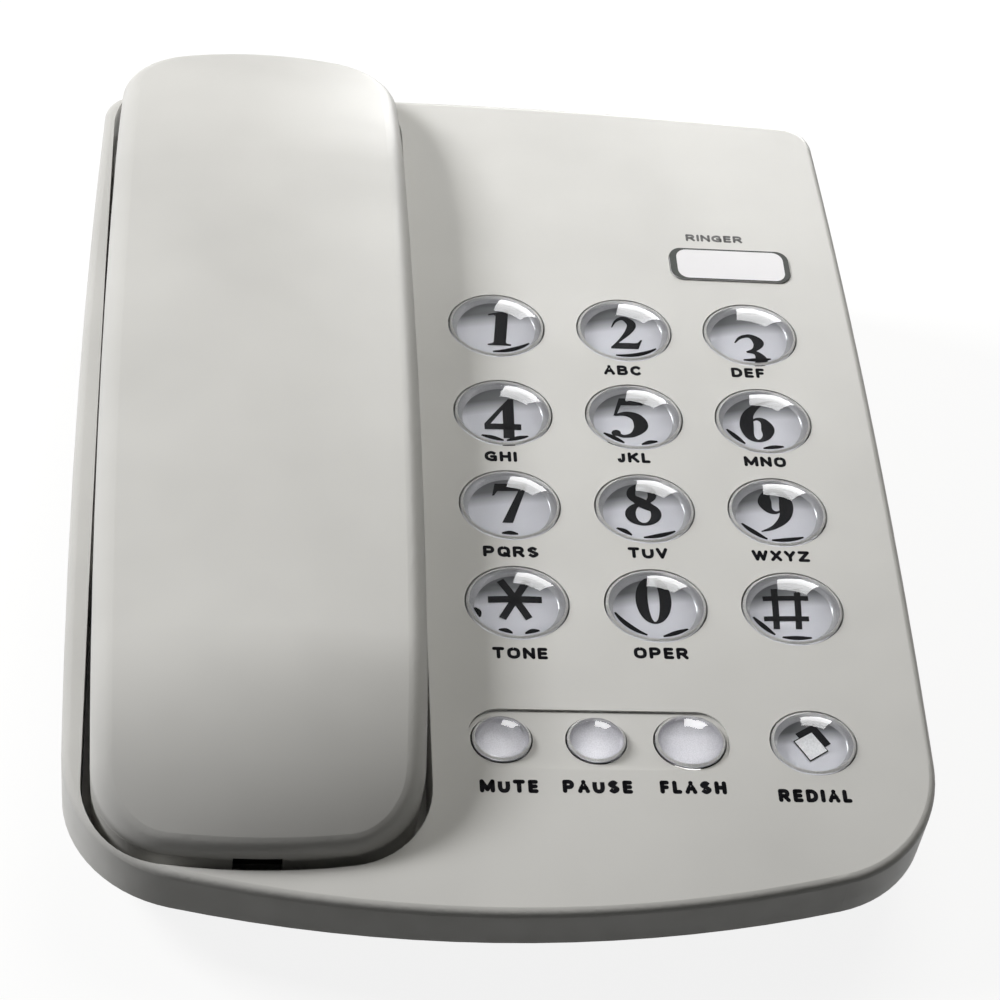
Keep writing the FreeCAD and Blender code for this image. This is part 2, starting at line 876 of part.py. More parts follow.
board_posts = at_board_posts("board_post", S.board_post_radius, -BOARD_TOP - S.cover_wall / 2, BOARD_TOP)
post_bores = at_board_posts("post_bore", screw_way, -BOARD_TOP - S.cover_wall, BOARD_TOP - 1)
board_screws = [
    fuse(f"board_screw_{i}", head, shank)
    for i, (head, shank) in enumerate(
        zip(
            at_board_posts(
                "board_screw_head",
                S.board_screw_head_radius,
                S.board_screw_head_height,
                BOARD_BOTTOM - S.board_screw_head_height,
            ),
            at_board_posts(
                "board_screw_shank",
                S.board_screw_radius,
                S.board_thickness - BOARD_TOP - S.cover_wall * 2,
                BOARD_BOTTOM,
            ),
        ),
        1,
    )
]
node(group("board_screws", *board_screws), "board_screws")


def under_board(thing, x, along, height):
    return in_face_frame(thing, x, along, BOARD_BOTTOM - height)


def board_parts():
    """The dialler chip, its crystal and three capacitors under the main board."""
    chip = box("dialler_chip", S.chip_length, S.chip_width, S.chip_height)
    under_board(chip, S.column_middle, S.row_pitch / 2, S.chip_height)
    crystal = box("crystal", S.crystal_length, S.crystal_width, S.crystal_height)
    under_board(crystal, S.column_middle + S.column_pitch / 2, S.row_pitch, S.crystal_height)
    cans = [
        under_board(
            tube(f"capacitor_{i}", S.capacitor_radius, S.capacitor_height),
            S.column_middle + S.capacitor_radius * 3 * i,
            S.row_pitch * -1.5,
            S.capacitor_height,
        )
        for i in (-1, 0, 1)
    ]
    return node(group("board_components", chip, crystal, *cans), "board_components")


board_parts()


# Base screws, feet and what the bottom cover carries

FLOOR_TOP = S.seam_height - S.seam_gap
REAR_SCREW_Y = S.base_depth / 2 - S.rear_screw_inset
SCREW_PLACES = [
    (S.screw_x, S.front_right_screw_y),
    (S.screw_x, REAR_SCREW_Y),
    (-S.screw_x, S.front_left_screw_y),
    (-S.screw_x, REAR_SCREW_Y),
]
REAR_FOOT_Y = S.base_depth / 2 - S.rear_foot_inset
FOOT_PLACES = [(S.foot_x * side, y) for y in (S.front_foot_y, REAR_FOOT_Y) for side in (-1, 1)]
SOUNDER_Y = S.base_depth / 2 - S.sounder_rear_inset
HEAD_SEAT = S.foot_lift + S.screw_head_height + S.screw_clearance * 4
BOSS_MEET = HEAD_SEAT + S.boss_root * 2


def at_places(name, places, radius, height, z, bore=None):
    return [
        place(tube(f"{name}_{i}", radius, height, bore), x, y, z) for i, (x, y) in enumerate(places, 1)
    ]


lower_bosses = at_places("lower_boss", SCREW_PLACES, S.boss_radius, BOSS_MEET - S.foot_lift, S.foot_lift)
head_wells = at_places(
    "head_well", SCREW_PLACES, S.screw_head_radius + S.screw_clearance * 2, HEAD_SEAT, 0
)
shank_ways = at_places("shank_way", SCREW_PLACES, S.screw_radius + S.screw_clearance, BOSS_MEET * 2, 0)
upper_bosses = at_places(
    "upper_boss", SCREW_PLACES, S.boss_radius, S.face_height * 2, BOSS_MEET + S.seam_gap
)
upper_bores = at_places(
    "upper_bore", SCREW_PLACES, S.screw_radius + S.screw_clearance / 2, S.screw_length, BOSS_MEET - 1
)
base_screws = [
    fuse(f"base_screw_{i}", head, shank)
    for i, (head, shank) in enumerate(
        zip(
            at_places(
                "base_screw_head",
                SCREW_PLACES,
                S.screw_head_radius,
                S.screw_head_height,
                HEAD_SEAT - S.screw_head_height,
            ),
            at_places("base_screw_shank", SCREW_PLACES, S.screw_radius, S.screw_length, HEAD_SEAT),
        ),
        1,
    )
]
node(group("base_screws", *base_screws), "base_screws")


def rubber_foot(index, x, y):
    body = tube(f"rubber_foot_{index}", S.foot_radius, S.foot_lift + S.foot_recess)
    round_edges(body, lambda middle, edge: abs(middle.z) < 0.01, S.foot_recess)
    return place(body, x, y, 0)


feet = [rubber_foot(i, x, y) for i, (x, y) in enumerate(FOOT_PLACES, 1)]
node(group("base_feet", *feet), "base_feet")
foot_recesses = at_places(
    "foot_recess",
    FOOT_PLACES,
    S.foot_radius + S.screw_clearance,
    S.foot_recess * 2,
    S.foot_lift - S.foot_recess,
)


# Bottom cover


def bottom_plate():
    body = new_body("bottom_plate")
    side, front = S.foot_side_inset + S.seam_inset, S.foot_front_inset + S.seam_inset
    outline = base_outline(Drawing(body, "XY_Plane", S.foot_lift), side, S.seam_inset, front)
    pad(body, outline, FLOOR_TOP - S.foot_lift)
    round_edges(body, lambda middle, edge: abs(middle.z - S.foot_lift.value) < 0.01, S.seam_inset)
    return body


def locating_lip():
    """The low wall that stands inside the top cover and lines the two up."""
    body = new_body("locating_lip")
    drawing = Drawing(body, "XY_Plane", FLOOR_TOP - S.lip_thickness / 2)
    for inset in (S.cover_wall + S.lip_clearance, S.cover_wall + S.lip_clearance + S.lip_thickness):
        base_outline(drawing, S.foot_side_inset + inset, inset, S.foot_front_inset + inset)
    pad(body, drawing, S.lip_height + S.lip_thickness / 2)
    return body


def keyhole(index, y):
    """A hole that a wall screw's head enters, with a slot for its neck above it."""
    body = new_body(f"keyhole_{index}")
    pad(body, Drawing(body, "XY_Plane").circle(0, 0, S.keyhole_radius), S.seam_height * 2)
    neck = Drawing(body, "XY_Plane").slot(0, 0, S.keyhole_slot_length, S.keyhole_slot_width)
    pad(body, neck, S.seam_height * 2)
    return place(body, 0, y, 0)


LINE_BOARD_BOTTOM = FLOOR_TOP + S.line_board_standoff
LINE_BOARD_TOP = LINE_BOARD_BOTTOM + S.board_thickness
LINE_BOARD_REAR = S.base_depth / 2 - S.line_board_rear_inset
LINE_BOARD_FRONT = LINE_BOARD_REAR - S.line_board_length
LINE_POSTS = [
    (x, y)
    for x in (S.line_board_left + inset, S.line_board_right - inset)
    for y in (LINE_BOARD_FRONT + inset, LINE_BOARD_REAR - inset * 2)
]
line_posts = at_places("line_post", LINE_POSTS, S.board_post_radius, S.line_board_standoff + 1, FLOOR_TOP - 1)

base_jack_x = S.cover_wall + S.jack_seat_gap * 4 - S.base_width / 2
base_jack_seat = place(
    box("base_jack_seat", S.cord_jack_depth / 2, S.cord_jack_width - 2, S.base_jack_bottom - FLOOR_TOP + 1),
    base_jack_x + S.cord_jack_depth * 0.75,
    S.base_jack_y,
    FLOOR_TOP - 1,
)
sounder_ring = place(
    tube(
        "sounder_ring",
        S.sounder_radius + S.lip_thickness + S.lip_clearance,
        S.sounder_height / 2 + 1,
        S.sounder_radius + S.lip_clearance,
    ),
    S.sounder_x,
    SOUNDER_Y,
    FLOOR_TOP - 1,
)


def sound_holes(name, rings, spacing, radius, depth):
    """Holes in rings round one hole, standing on z = 0."""
    body = new_body(name)
    pad(body, Drawing(body, "XY_Plane").circle(0, 0, radius), depth)
    for ring in range(1, rings + 1):
        hole = pad(body, Drawing(body, "XY_Plane").circle(spacing * ring, 0, radius), depth)
        around = body.newObject("PartDesign::PolarPattern", f"{name}_ring_{ring}")
        around.Originals = [hole]
        axis = [feature for feature in body.Origin.OriginFeatures if feature.Role == "Z_Axis"][0]
        around.Axis = (axis, [""])
        around.Angle = 360
        around.Occurrences = 6 * ring
        body.Tip = around
    return body


ballast_frame = new_body("ballast_frame")
frame_drawing = Drawing(ballast_frame, "XY_Plane")
for margin in (S.lip_clearance * 2, S.lip_clearance * 2 + S.lip_thickness * 2):
    frame_drawing.rectangle(0, 0, S.ballast_width + margin, S.ballast_depth + margin)
pad(ballast_frame, frame_drawing, S.ballast_thickness / 2 + 1)
place(ballast_frame, S.ballast_x, S.ballast_y, FLOOR_TOP - 1)

sounder_grille = place(
    sound_holes("sounder_grille", 2, S.sound_hole_radius * 4, S.sound_hole_radius, S.seam_height * 2),
    S.sounder_x,
    SOUNDER_Y,
    0,
)
bottom_solid = fuse(
    "bottom_solid",
    bottom_plate(),
    locating_lip(),
    *lower_bosses,
    *line_posts,
    base_jack_seat,
    sounder_ring,
    ballast_frame,
)
keyholes = [keyhole(i, S.keyhole_spacing / 2 * side) for i, side in enumerate((-1, 1), 1)]
bottom_cover = cut(
    "base_bottom_cover", bottom_solid, *head_wells, *shank_ways, *foot_recesses, *keyholes, sounder_grille
)
node(bottom_cover, "base_bottom_cover")

node(
    place(tube("sounder", S.sounder_radius, S.sounder_height), S.sounder_x, SOUNDER_Y, FLOOR_TOP), "sounder"
)
node(
    place(
        box("ballast_plate", S.ballast_width, S.ballast_depth, S.ballast_thickness),
        S.ballast_x,
        S.ballast_y,
        FLOOR_TOP,
    ),
    "ballast_plate",
)


# Line board, jacks and hook switch


def make_jack(name, width, depth, height, plug_width, plug_height, plug_floor):
    """A moulded socket block with its mouth at y = 0, facing -y: a plug space with a latch groove over it."""
    body = new_body(name)
    profile = Drawing(body, "XZ_Plane")
    profile.rectangle(0, as_size(height) / 2, width, height)
    pad(body, profile, depth, down=True)
    mouth = Drawing(body, "XZ_Plane").rectangle(0, plug_floor + plug_height / 2, plug_width, plug_height)
    pocket(body, mouth, S.plug_reach)
    groove_height = (height - plug_floor - plug_height) / 2
    groove = Drawing(body, "XZ_Plane").rectangle(
        0, plug_floor + plug_height + groove_height / 2, plug_width / 2.5, groove_height
    )
    pocket(body, groove, S.plug_reach)
    return body


def turned(thing, angle, x, y, z):
    thing.Placement = Placement(Vector(), Rotation(Vector(0, 0, 1), angle))
    return place(thing, x, y, z)


line_jack = make_jack(
    "line_jack",
    S.line_jack_width,
    S.line_jack_depth,
    S.line_jack_height,
    S.line_plug_width,
    S.line_plug_height,
    S.line_plug_floor,
)
line_jack_y = S.base_depth / 2 - S.cover_wall - S.jack_seat_gap * 16
node(turned(line_jack, 180, S.line_jack_x, line_jack_y, LINE_BOARD_TOP), "line_jack")

base_jack = make_jack(
    "base_handset_jack",
    S.cord_jack_width,
    S.cord_jack_depth,
    S.cord_jack_height,
    S.cord_plug_width,
    S.cord_plug_height,
    S.cord_plug_floor,
)
base_jack_floor = S.base_jack_bottom + S.jack_seat_gap
node(turned(base_jack, -90, base_jack_x, S.base_jack_y, base_jack_floor), "base_handset_jack")

line_board = place(
    box(
        "line_board",
        S.line_board_right - S.line_board_left,
        S.line_board_length,
        S.board_thickness,
    ),
    (S.line_board_right + S.line_board_left) / 2,
    (LINE_BOARD_REAR + LINE_BOARD_FRONT) / 2,
    LINE_BOARD_BOTTOM,
)
node(line_board, "line_board")

PLUNGER_X, PLUNGER_Y, PLUNGER_FLOOR = from_cradle(NONE, S.plunger_along, -FLOOR_DEPTH)
BUTTON_BOTTOM = PLUNGER_FLOOR - S.plunger_travel - 1
SLEEVE_BOTTOM = BUTTON_BOTTOM - S.cover_wall
CLIP_TOP = SLEEVE_BOTTOM - S.plunger_travel - S.plunger_cap_gap
CLIP_BOTTOM = CLIP_TOP - S.plunger_collar_height
SWITCH_TOP = LINE_BOARD_TOP + S.switch_height
TIP_BOTTOM = SWITCH_TOP - S.plunger_travel - 1


def at_plunger(thing, z):
    return place(thing, PLUNGER_X, PLUNGER_Y, z)


def hook_plunger():
    """The button under the earpiece, cut level with it on top, on a stepped rod."""
    button = box("plunger_button", S.plunger_button_width, S.plunger_button_depth, S.handset_top)
    round_edges(
        button, lambda middle, edge: abs(edge.tangentAt(edge.FirstParameter).z) > 0.9, S.plunger_collar_height
    )
    at_plunger(button, BUTTON_BOTTOM)
    under = box("plunger_trim", S.handset_top * 2, S.handset_top * 2, S.handset_top * 2)
    in_cradle_frame(under, 0, S.plunger_along, -S.cap_depth - S.plunger_cap_gap - S.handset_top * 2)
    rod = at_plunger(tube("plunger_rod", S.plunger_rod_radius, BUTTON_BOTTOM - CLIP_TOP), CLIP_TOP)
    tip = at_plunger(tube("plunger_tip", S.plunger_tip_radius, CLIP_TOP - TIP_BOTTOM), TIP_BOTTOM)
    return node(fuse("hook_plunger", common("plunger_cap", button, under), rod, tip), "hook_plunger")


hook_plunger()
clip_bore = S.plunger_tip_radius + S.screw_clearance / 2
clip = tube("plunger_clip", S.plunger_collar_radius, S.plunger_collar_height, clip_bore)
node(at_plunger(clip, CLIP_BOTTOM), "plunger_clip")
switch = box("hook_switch", S.switch_width, S.switch_width, S.switch_height)
pocket(
    switch,
    Drawing(switch, "XY_Plane", S.switch_height).circle(0, 0, S.plunger_tip_radius + S.plunger_clearance),
    S.plunger_travel + 1.5,
)
node(at_plunger(switch, LINE_BOARD_TOP), "hook_switch")


WIRE_SIDES = 12


def hook_spring():
    """The coil that lifts the plunger, between the switch and the clip. Its wire has twelve sides, drawn so that
    its section is as large as the round wire's."""
    height = CLIP_BOTTOM - SWITCH_TOP - S.spring_wire_radius * 2.2
    coil_gap = height / S.spring_turns - S.spring_wire_radius * 2
    print("gap between spring coils", round(coil_gap.value, 2))
    path = doc.addObject("Part::Helix", "spring_path")
    bind(path, "Height", height)
    bind(path, "Pitch", height / S.spring_turns)
    bind(path, "Radius", S.spring_radius)
    wire = doc.addObject("Part::RegularPolygon", "spring_wire")
    wire.Polygon = WIRE_SIDES
    same_area = math.sqrt(2 * math.pi / (WIRE_SIDES * math.sin(2 * math.pi / WIRE_SIDES)))
    bind(wire, "Circumradius", S.spring_wire_radius * same_area)
    wire.Placement = Placement(Vector(), Rotation(ACROSS, 90))
    bind(wire, "Placement.Base.x", S.spring_radius)
    coil = doc.addObject("Part::Sweep", "hook_spring")
    coil.Sections = [wire]
    coil.Spine = (path, ["Edge1"])
    coil.Solid = True
    coil.Frenet = True
    return node(at_plunger(coil, SWITCH_TOP + S.spring_wire_radius * 1.1), "hook_spring")


hook_spring()

sleeve_side = S.plunger_clearance * 2 + S.sleeve_wall * 2
sleeve = box(
    "sleeve",
    S.plunger_button_width + sleeve_side,
    S.plunger_button_depth + sleeve_side,
    PLUNGER_FLOOR - SLEEVE_BOTTOM - S.cover_wall / 2,
)
at_plunger(sleeve, SLEEVE_BOTTOM)
button_way = box(
    "button_way",
    S.plunger_button_width + S.plunger_clearance * 2,
    S.plunger_button_depth + S.plunger_clearance * 2,
    S.handset_top,
)
at_plunger(button_way, BUTTON_BOTTOM - S.plunger_cap_gap)
rod_way = tube("rod_way", S.plunger_rod_radius + S.plunger_clearance, S.handset_top)
at_plunger(rod_way, SLEEVE_BOTTOM - 1)


# Wall hook: a tab in the bridge that holds the handset when the phone hangs on a wall


def hook_block(name, clearance, height, out):
    body = box(name, S.hook_width + clearance * 2, S.hook_depth + clearance * 2, height)
    return in_cradle_frame(body, 0, S.hook_along, out)


hook_floor = -S.bridge_depth - S.hook_thickness
hook_body = hook_block("hook_body", NONE, S.hook_thickness - S.lip_clearance, hook_floor)
hook_nose = box("hook_nose", S.hook_width, S.hook_depth / 4, S.hook_thickness)
in_cradle_frame(hook_nose, 0, S.hook_along - S.hook_depth * 0.375, -S.bridge_depth - S.hook_thickness / 2)
node(fuse("wall_hook", hook_body, hook_nose), "wall_hook")
hook_recess = hook_block("hook_recess", S.lip_clearance, S.hook_thickness * 3, hook_floor)


# Slide switches in the rear wall


def rear_wall_y(x):
    """Where the rear wall's outer face stands at x, from its bow."""
    bow = S.rear_bow_radius - root(S.rear_bow_radius * S.rear_bow_radius - x * x)
    return S.base_depth / 2 - bow


SWITCHES = (("tone_pulse", S.tone_switch_x), ("ringer_volume", S.ringer_switch_x))
switch_cuts = []
switch_shelves = []
for name, x in SWITCHES:
    plate_width = S.slide_stem_width * 2
    wall_y = rear_wall_y(x + S.slide_travel + plate_width / 2)
    inner_y = wall_y - S.cover_wall - S.jack_seat_gap * 2
    plate_height = S.slide_stem_height * 1.6
    stem = place(
        box(name + "_stem", S.slide_stem_width, S.cover_wall, S.slide_stem_height),
        x,
        wall_y - S.cover_wall / 2 - S.slide_recess_depth / 4,
        S.slide_switch_z - S.slide_stem_height / 2,
    )
    plate = place(
        box(name + "_plate", plate_width, S.slide_plate_thickness, plate_height),
        x,
        inner_y - S.slide_plate_thickness / 2,
        S.slide_switch_z - plate_height / 2,
    )
    node(fuse(name + "_knob", stem, plate), name + "_knob")
    body_y = inner_y - S.slide_plate_thickness - S.jack_seat_gap - S.slide_body_depth / 2
    shelf_z = S.slide_switch_z - S.slide_body_height / 2
    case = place(
        box(
            name + "_switch",
            plate_width + S.slide_travel * 2,
            S.slide_body_depth,
            S.slide_body_height,
        ),
        x + S.slide_travel / 2,
        body_y,
        shelf_z,
    )
    node(case, name + "_switch")
    slot_width = S.slide_stem_width + S.slide_travel + S.slide_clearance * 2
    slot_height = S.slide_stem_height + S.slide_clearance * 2
    middle = x + S.slide_travel / 2
    switch_cuts.append(
        place(
            box(name + "_slot", slot_width, S.cover_wall * 4, slot_height),
            middle,
            wall_y,
            S.slide_switch_z - slot_height / 2,
        )
    )
    recess_height = slot_height + S.slide_recess_margin * 2
    switch_cuts.append(
        place(
            box(
                name + "_recess",
                slot_width + S.slide_recess_margin * 2,
                S.slide_recess_depth * 4,
                recess_height,
            ),
            middle,
            wall_y + S.slide_recess_depth,
            S.slide_switch_z - recess_height / 2,
        )
    )
    shelf_depth = S.slide_body_depth + S.slide_plate_thickness + S.cover_wall
    switch_shelves.append(
        place(
            box(name + "_shelf", plate_width + S.slide_travel * 2, shelf_depth, S.lip_thickness),
            middle,
            wall_y - S.cover_wall / 2 - shelf_depth / 2,
            shelf_z - S.lip_thickness - S.jack_seat_gap,
        )
    )


# Top cover: posts and bosses go in, then everything that opens it is cut

jack_ways = [
    place(
        box(
            "line_jack_way",
            S.line_plug_width + S.slide_clearance * 2,
            S.cover_wall * 6,
            S.line_plug_height + S.slide_clearance * 2,
        ),
        S.line_jack_x,
        S.base_depth / 2 - S.cover_wall,
        LINE_BOARD_TOP + S.line_plug_floor - S.slide_clearance,
    ),
    place(
        box(
            "base_jack_way",
            S.cover_wall * 2.5,
            S.cord_plug_width + S.slide_clearance * 2,
            S.cord_plug_height + S.slide_clearance * 2,
        ),
        -S.base_width / 2,
        S.base_jack_y,
        base_jack_floor + S.cord_plug_floor - S.slide_clearance,
    ),
]
TRAY_END_SHARE = 0.46
cover_additions = common(
    "cover_additions", fuse("cover_posts", *upper_bosses, *board_posts, sleeve, *switch_shelves), cover_block
)

def function_recess():
    """The shallow tray round the mute, pause and flash keys."""
    body = new_body(
        "function_recess", lambda thing: in_face_frame(thing, 0, S.function_row, -S.tray_recess_depth)
    )
    left = S.function_first - S.function_half_width - S.tray_recess_margin
    right = S.function_first + S.function_pitch * 2 + S.flash_half_width + S.tray_recess_margin
    depth = (S.flash_half_depth + S.tray_recess_margin) * 2
    drawing = Drawing(body, "XY_Plane")
    drawing.rounded((left + right) / 2, 0, right - left, depth, depth * TRAY_END_SHARE)
    pad(body, drawing, S.tray_recess_depth * 4)
    return body


cover_shell = cut("cover_shell", cover_block, cover_core)
cover_solid = fuse("cover_solid", cover_shell, cover_additions)
top_cover = cut(
    "base_top_cover",
    cover_solid,
    cradle,
    *key_holes,
    window_hole,
    function_recess(),
    *post_bores,
    *upper_bores,
    button_way,
    rod_way,
    hook_recess,
    *switch_cuts,
    *jack_ways,
)
node(top_cover, "base_top_cover")


# Handset


def crown(drawing, half, radius, top, over):
    """A closed profile that covers everything above a crowned line."""
    half, radius, top = as_size(half), as_size(radius), as_size(top)
    hub = top - radius
    reach = math.acos(half.value / radius.value)
    arc = drawing.arc(0, hub.value, radius.value, reach, math.pi - reach)
    level = hub.value + math.sqrt(radius.value**2 - half.value**2)
    high = top + over
    left = drawing.line(-half.value, level, -half.value, high.value)
    roof = drawing.line(-half.value, high.value, half.value, high.value)
    right = drawing.line(half.value, high.value, half.value, level)
    drawing.pin(arc, 3, 0, hub)
    drawing.hold("Radius", arc, radius)
    drawing.hold("DistanceX", -1, 1, arc, 1, half)
    drawing.hold("DistanceX", -1, 1, arc, 2, -half)
    drawing.hold("Coincident", arc, 2, left, 1)
    drawing.hold("Coincident", left, 2, roof, 1)
    drawing.hold("Coincident", roof, 2, right, 1)
    drawing.hold("Coincident", right, 2, arc, 1)
    drawing.pin(left, 2, -half, high)
    drawing.pin(roof, 2, half, high)
    return drawing


def crown_profile(body, top, radius, along):
    """The section of what the crown takes off, in a plane across the handset, about the axis that the crown's
    ends turn round. The sketch's own horizontal axis is that axis."""
    profile = Drawing(body, "XZ_Plane", -along, top - radius)
    return crown(profile, S.handset_width * 0.75, S.crown_radius, radius, S.handset_top * 2)


def handset_form(name, wall, wrap_radius, cap_radius):
    """The handset's form, drawn in by a wall: a bowed outline under a crowned top that bends down towards both
    ends, with rounded edges, and a grip that arches between the two caps."""
    body = new_body(name, in_cradle_frame)
    low = wall - S.cap_depth
    outline = handset_outline(Drawing(body, "XY_Plane", low), -wall, -wall, -wall, -wall)
    pad(body, outline, S.handset_top * 1.5 - low)
    top = S.handset_top - wall
    front_bend, rear_bend = S.crown_front_radius - wall, S.crown_rear_radius - wall
    pocket(body, crown_profile(body, top, front_bend, NONE), S.crown_reach * 2, midplane=True)
    for side, radius in ((-1, front_bend), (1, rear_bend)):
        profile = crown_profile(body, top, radius, S.crown_reach * side)
        groove = body.newObject("PartDesign::Groove", name + "_bend")
        groove.Profile = profile.sketch
        groove.ReferenceAxis = (profile.sketch, ["H_Axis"])
        groove.Reversed = side > 0
        groove.Angle = 90
    seam = S.crown_reach.value + 1

    def on_top(middle, edge):
        upright = abs(edge.tangentAt(edge.FirstParameter).z) > 0.9
        between = abs(middle.x) < 1 and abs(middle.y) < seam
        return middle.z > 0 and not upright and not between

    round_edges(body, on_top, wrap_radius)
    round_edges(body, lambda middle, edge: abs(middle.z - low.value) < 0.01, cap_radius)
    rise = S.cap_depth - S.grip_underside
    slant = root(S.grip_ramp * S.grip_ramp + rise * rise)
    shift = wall * slant / rise
    slope = S.grip_ramp / rise
    top_reach = S.grip_reach + shift - slope * wall
    foot_reach = S.grip_reach + S.grip_ramp + shift + slope
    foot = -S.cap_depth - 1
    arch = Drawing(body, "YZ_Plane").polygon(
        (-foot_reach, foot),
        (foot_reach, foot),
        (top_reach, wall - S.grip_underside),
        (-top_reach, wall - S.grip_underside),
    )
    pocket(body, arch, S.handset_width * 2, midplane=True)
    return body


def cradle_box(name, width, depth, height, x, along, out):
    return in_cradle_frame(box(name, width, depth, height), x, along, out)


handset_block = handset_form("handset_block", NONE, S.handset_edge_radius, S.cap_edge_radius)
handset_space = handset_form(
    "handset_space",
    S.handset_wall,
    S.handset_edge_radius - S.handset_wall,
    S.cap_edge_radius - S.handset_wall / 2,
)
handset_shell = cut("handset_shell", handset_block, handset_space)
big = S.handset_length * 1.5
upper_half = cradle_box("upper_half", big, big, S.handset_top * 3, 0, 0, S.handset_split)
lower_half = cradle_box(
    "lower_half", big, big, S.handset_top * 3, 0, 0, S.handset_split - S.seam_gap - S.handset_top * 3
)
HANDSET_SCREWS = [(NONE, S.handset_screw_along * side) for side in (-1, 1)]
SCREW_SEAT = -S.grip_underside + S.screw_head_height + S.screw_clearance * 4
COLUMN_MEET = SCREW_SEAT + S.boss_root * 2
GRIP_FLOOR = S.handset_wall - S.grip_underside


def at_handset_screws(name, radius, height, out):
    return [
        in_cradle_frame(tube(f"{name}_{i}", radius, height), x, along, out)
        for i, (x, along) in enumerate(HANDSET_SCREWS, 1)
    ]


column_radius = S.boss_radius + S.lip_clearance * 2
low_columns = at_handset_screws("low_column", column_radius, COLUMN_MEET + S.grip_underside, -S.grip_underside)
high_columns = at_handset_screws(
    "high_column",
    S.boss_radius,
    S.handset_top - COLUMN_MEET - S.seam_gap - S.handset_wall / 2,
    COLUMN_MEET + S.seam_gap,
)
head_pits = at_handset_screws(
    "head_pit", S.screw_head_radius + S.screw_clearance * 2, S.cap_depth, SCREW_SEAT - S.cap_depth
)
low_bores = at_handset_screws("low_bore", S.screw_radius + S.screw_clearance, S.screw_length, SCREW_SEAT - 1)
high_bores = at_handset_screws(
    "high_bore", S.screw_radius + S.screw_clearance / 2, S.boss_radius * 2, COLUMN_MEET - 1
)
handset_screws = [
    fuse(f"handset_screw_{i}", head, shank)
    for i, (head, shank) in enumerate(
        zip(
            at_handset_screws(
                "screw_head", S.screw_head_radius, S.screw_head_height, SCREW_SEAT - S.screw_head_height
            ),
            at_handset_screws("screw_shank", S.screw_radius, S.screw_length * 0.8, SCREW_SEAT),
        ),
        1,
    )
]
node(group("handset_screws", *handset_screws), "handset_screws")

JACK_END = S.handset_length / 2 - S.handset_wall - S.lip_clearance - S.lip_thickness - S.jack_end_gap
handset_jack = make_jack(
    "handset_jack",
    S.cord_jack_width,
    S.cord_jack_depth,
    S.cord_jack_height,
    S.cord_plug_width,
    S.cord_plug_height,
    S.cord_plug_floor,
)
jack_bottom = S.handset_jack_bottom
node(in_cradle_frame(handset_jack, 0, -JACK_END, jack_bottom), "handset_jack")
handset_jack_way = cradle_box(
    "handset_jack_way",
    S.cord_plug_width + S.slide_clearance * 2,
    S.handset_wall * 5,
    S.cord_plug_height + S.slide_clearance * 2,
    0,
    -JACK_END - S.handset_wall * 2.5,
    jack_bottom + S.cord_plug_floor - S.slide_clearance,
)
cap_floor = S.handset_wall - S.cap_depth
jack_stand = cradle_box(
    "jack_stand",
    S.cord_jack_width - 2,
    S.cord_jack_depth - 4,
    jack_bottom - S.jack_seat_gap - cap_floor + 1,
    0,
    -JACK_END + S.cord_jack_depth / 2 + 1,
    cap_floor - 1,
)

ear_holes = in_cradle_frame(
    sound_holes("ear_holes", 1, S.sound_hole_radius * 4.5, S.sound_hole_radius, S.handset_wall * 3),
    0,
    S.speaker_along,
    -S.cap_depth - S.handset_wall,
)
mouth_holes = [
    in_cradle_frame(
        tube(f"mouth_hole_{i}", S.sound_hole_radius, S.handset_wall * 3),
        x,
        S.microphone_along,
        -S.cap_depth - S.handset_wall,
    )
    for i, x in enumerate((-S.sound_hole_radius * 3, NONE, S.sound_hole_radius * 3), 1)
]


def joining_ring():
    """The tongue of the front shell that stands inside the back shell."""
    body = new_body("joining_ring", in_cradle_frame)
    inner = -(S.handset_wall + S.lip_clearance + S.lip_thickness)
    for outer, low, high in (
        (S.handset_wall + S.lip_clearance, NONE - S.lip_height, S.lip_height),
        (S.handset_wall / 2, NONE - S.lip_height, NONE - S.seam_gap),
    ):
        drawing = Drawing(body, "XY_Plane", S.handset_split + low)
        handset_outline(drawing, -outer, -outer, -outer, -outer)
        handset_outline(drawing, inner, inner, inner, inner)
        pad(body, drawing, high - low)
    return body


front_solid = fuse(
    "front_solid",
    common("front_half", handset_shell, lower_half),
    joining_ring(),
    *low_columns,
    jack_stand,
)
front_shell = cut(
    "handset_front_shell", front_solid, *head_pits, *low_bores, ear_holes, *mouth_holes, handset_jack_way
)
node(front_shell, "handset_front_shell")
back_solid = fuse("back_solid", common("back_half", handset_shell, upper_half), *high_columns)
node(cut("handset_back_shell", back_solid, *high_bores, handset_jack_way), "handset_back_shell")


def handset_tube(name, radius, height, along, out, bore=None):
    return in_cradle_frame(tube(name, radius, height, bore), 0, along, out)


gasket_out = cap_floor + S.jack_seat_gap
speaker_out = gasket_out + S.gasket_thickness
node(
    handset_tube(
        "earpiece_gasket",
        S.speaker_radius,
        S.gasket_thickness,
        S.speaker_along,
        gasket_out,
        S.speaker_radius * 0.8,
    ),
    "earpiece_gasket",
)
speaker_cup = handset_tube(
    "speaker_cup", S.speaker_radius, S.speaker_height * 0.6, S.speaker_along, speaker_out
)
speaker_magnet = handset_tube(
    "speaker_magnet", S.speaker_radius * 0.55, S.speaker_height, S.speaker_along, speaker_out
)
node(fuse("earpiece_speaker", speaker_cup, speaker_magnet), "earpiece_speaker")
mic_out = gasket_out + S.gasket_thickness / 2
node(
    handset_tube(
        "microphone", S.microphone_radius, S.microphone_height, S.microphone_along, mic_out
    ),
    "microphone",
)
node(
    handset_tube(
        "microphone_boot",
        S.microphone_radius + S.jack_seat_gap + S.boot_wall,
        S.microphone_height + S.gasket_thickness / 2,
        S.microphone_along,
        gasket_out,
        S.microphone_radius + S.jack_seat_gap,
    ),
    "microphone_boot",
)
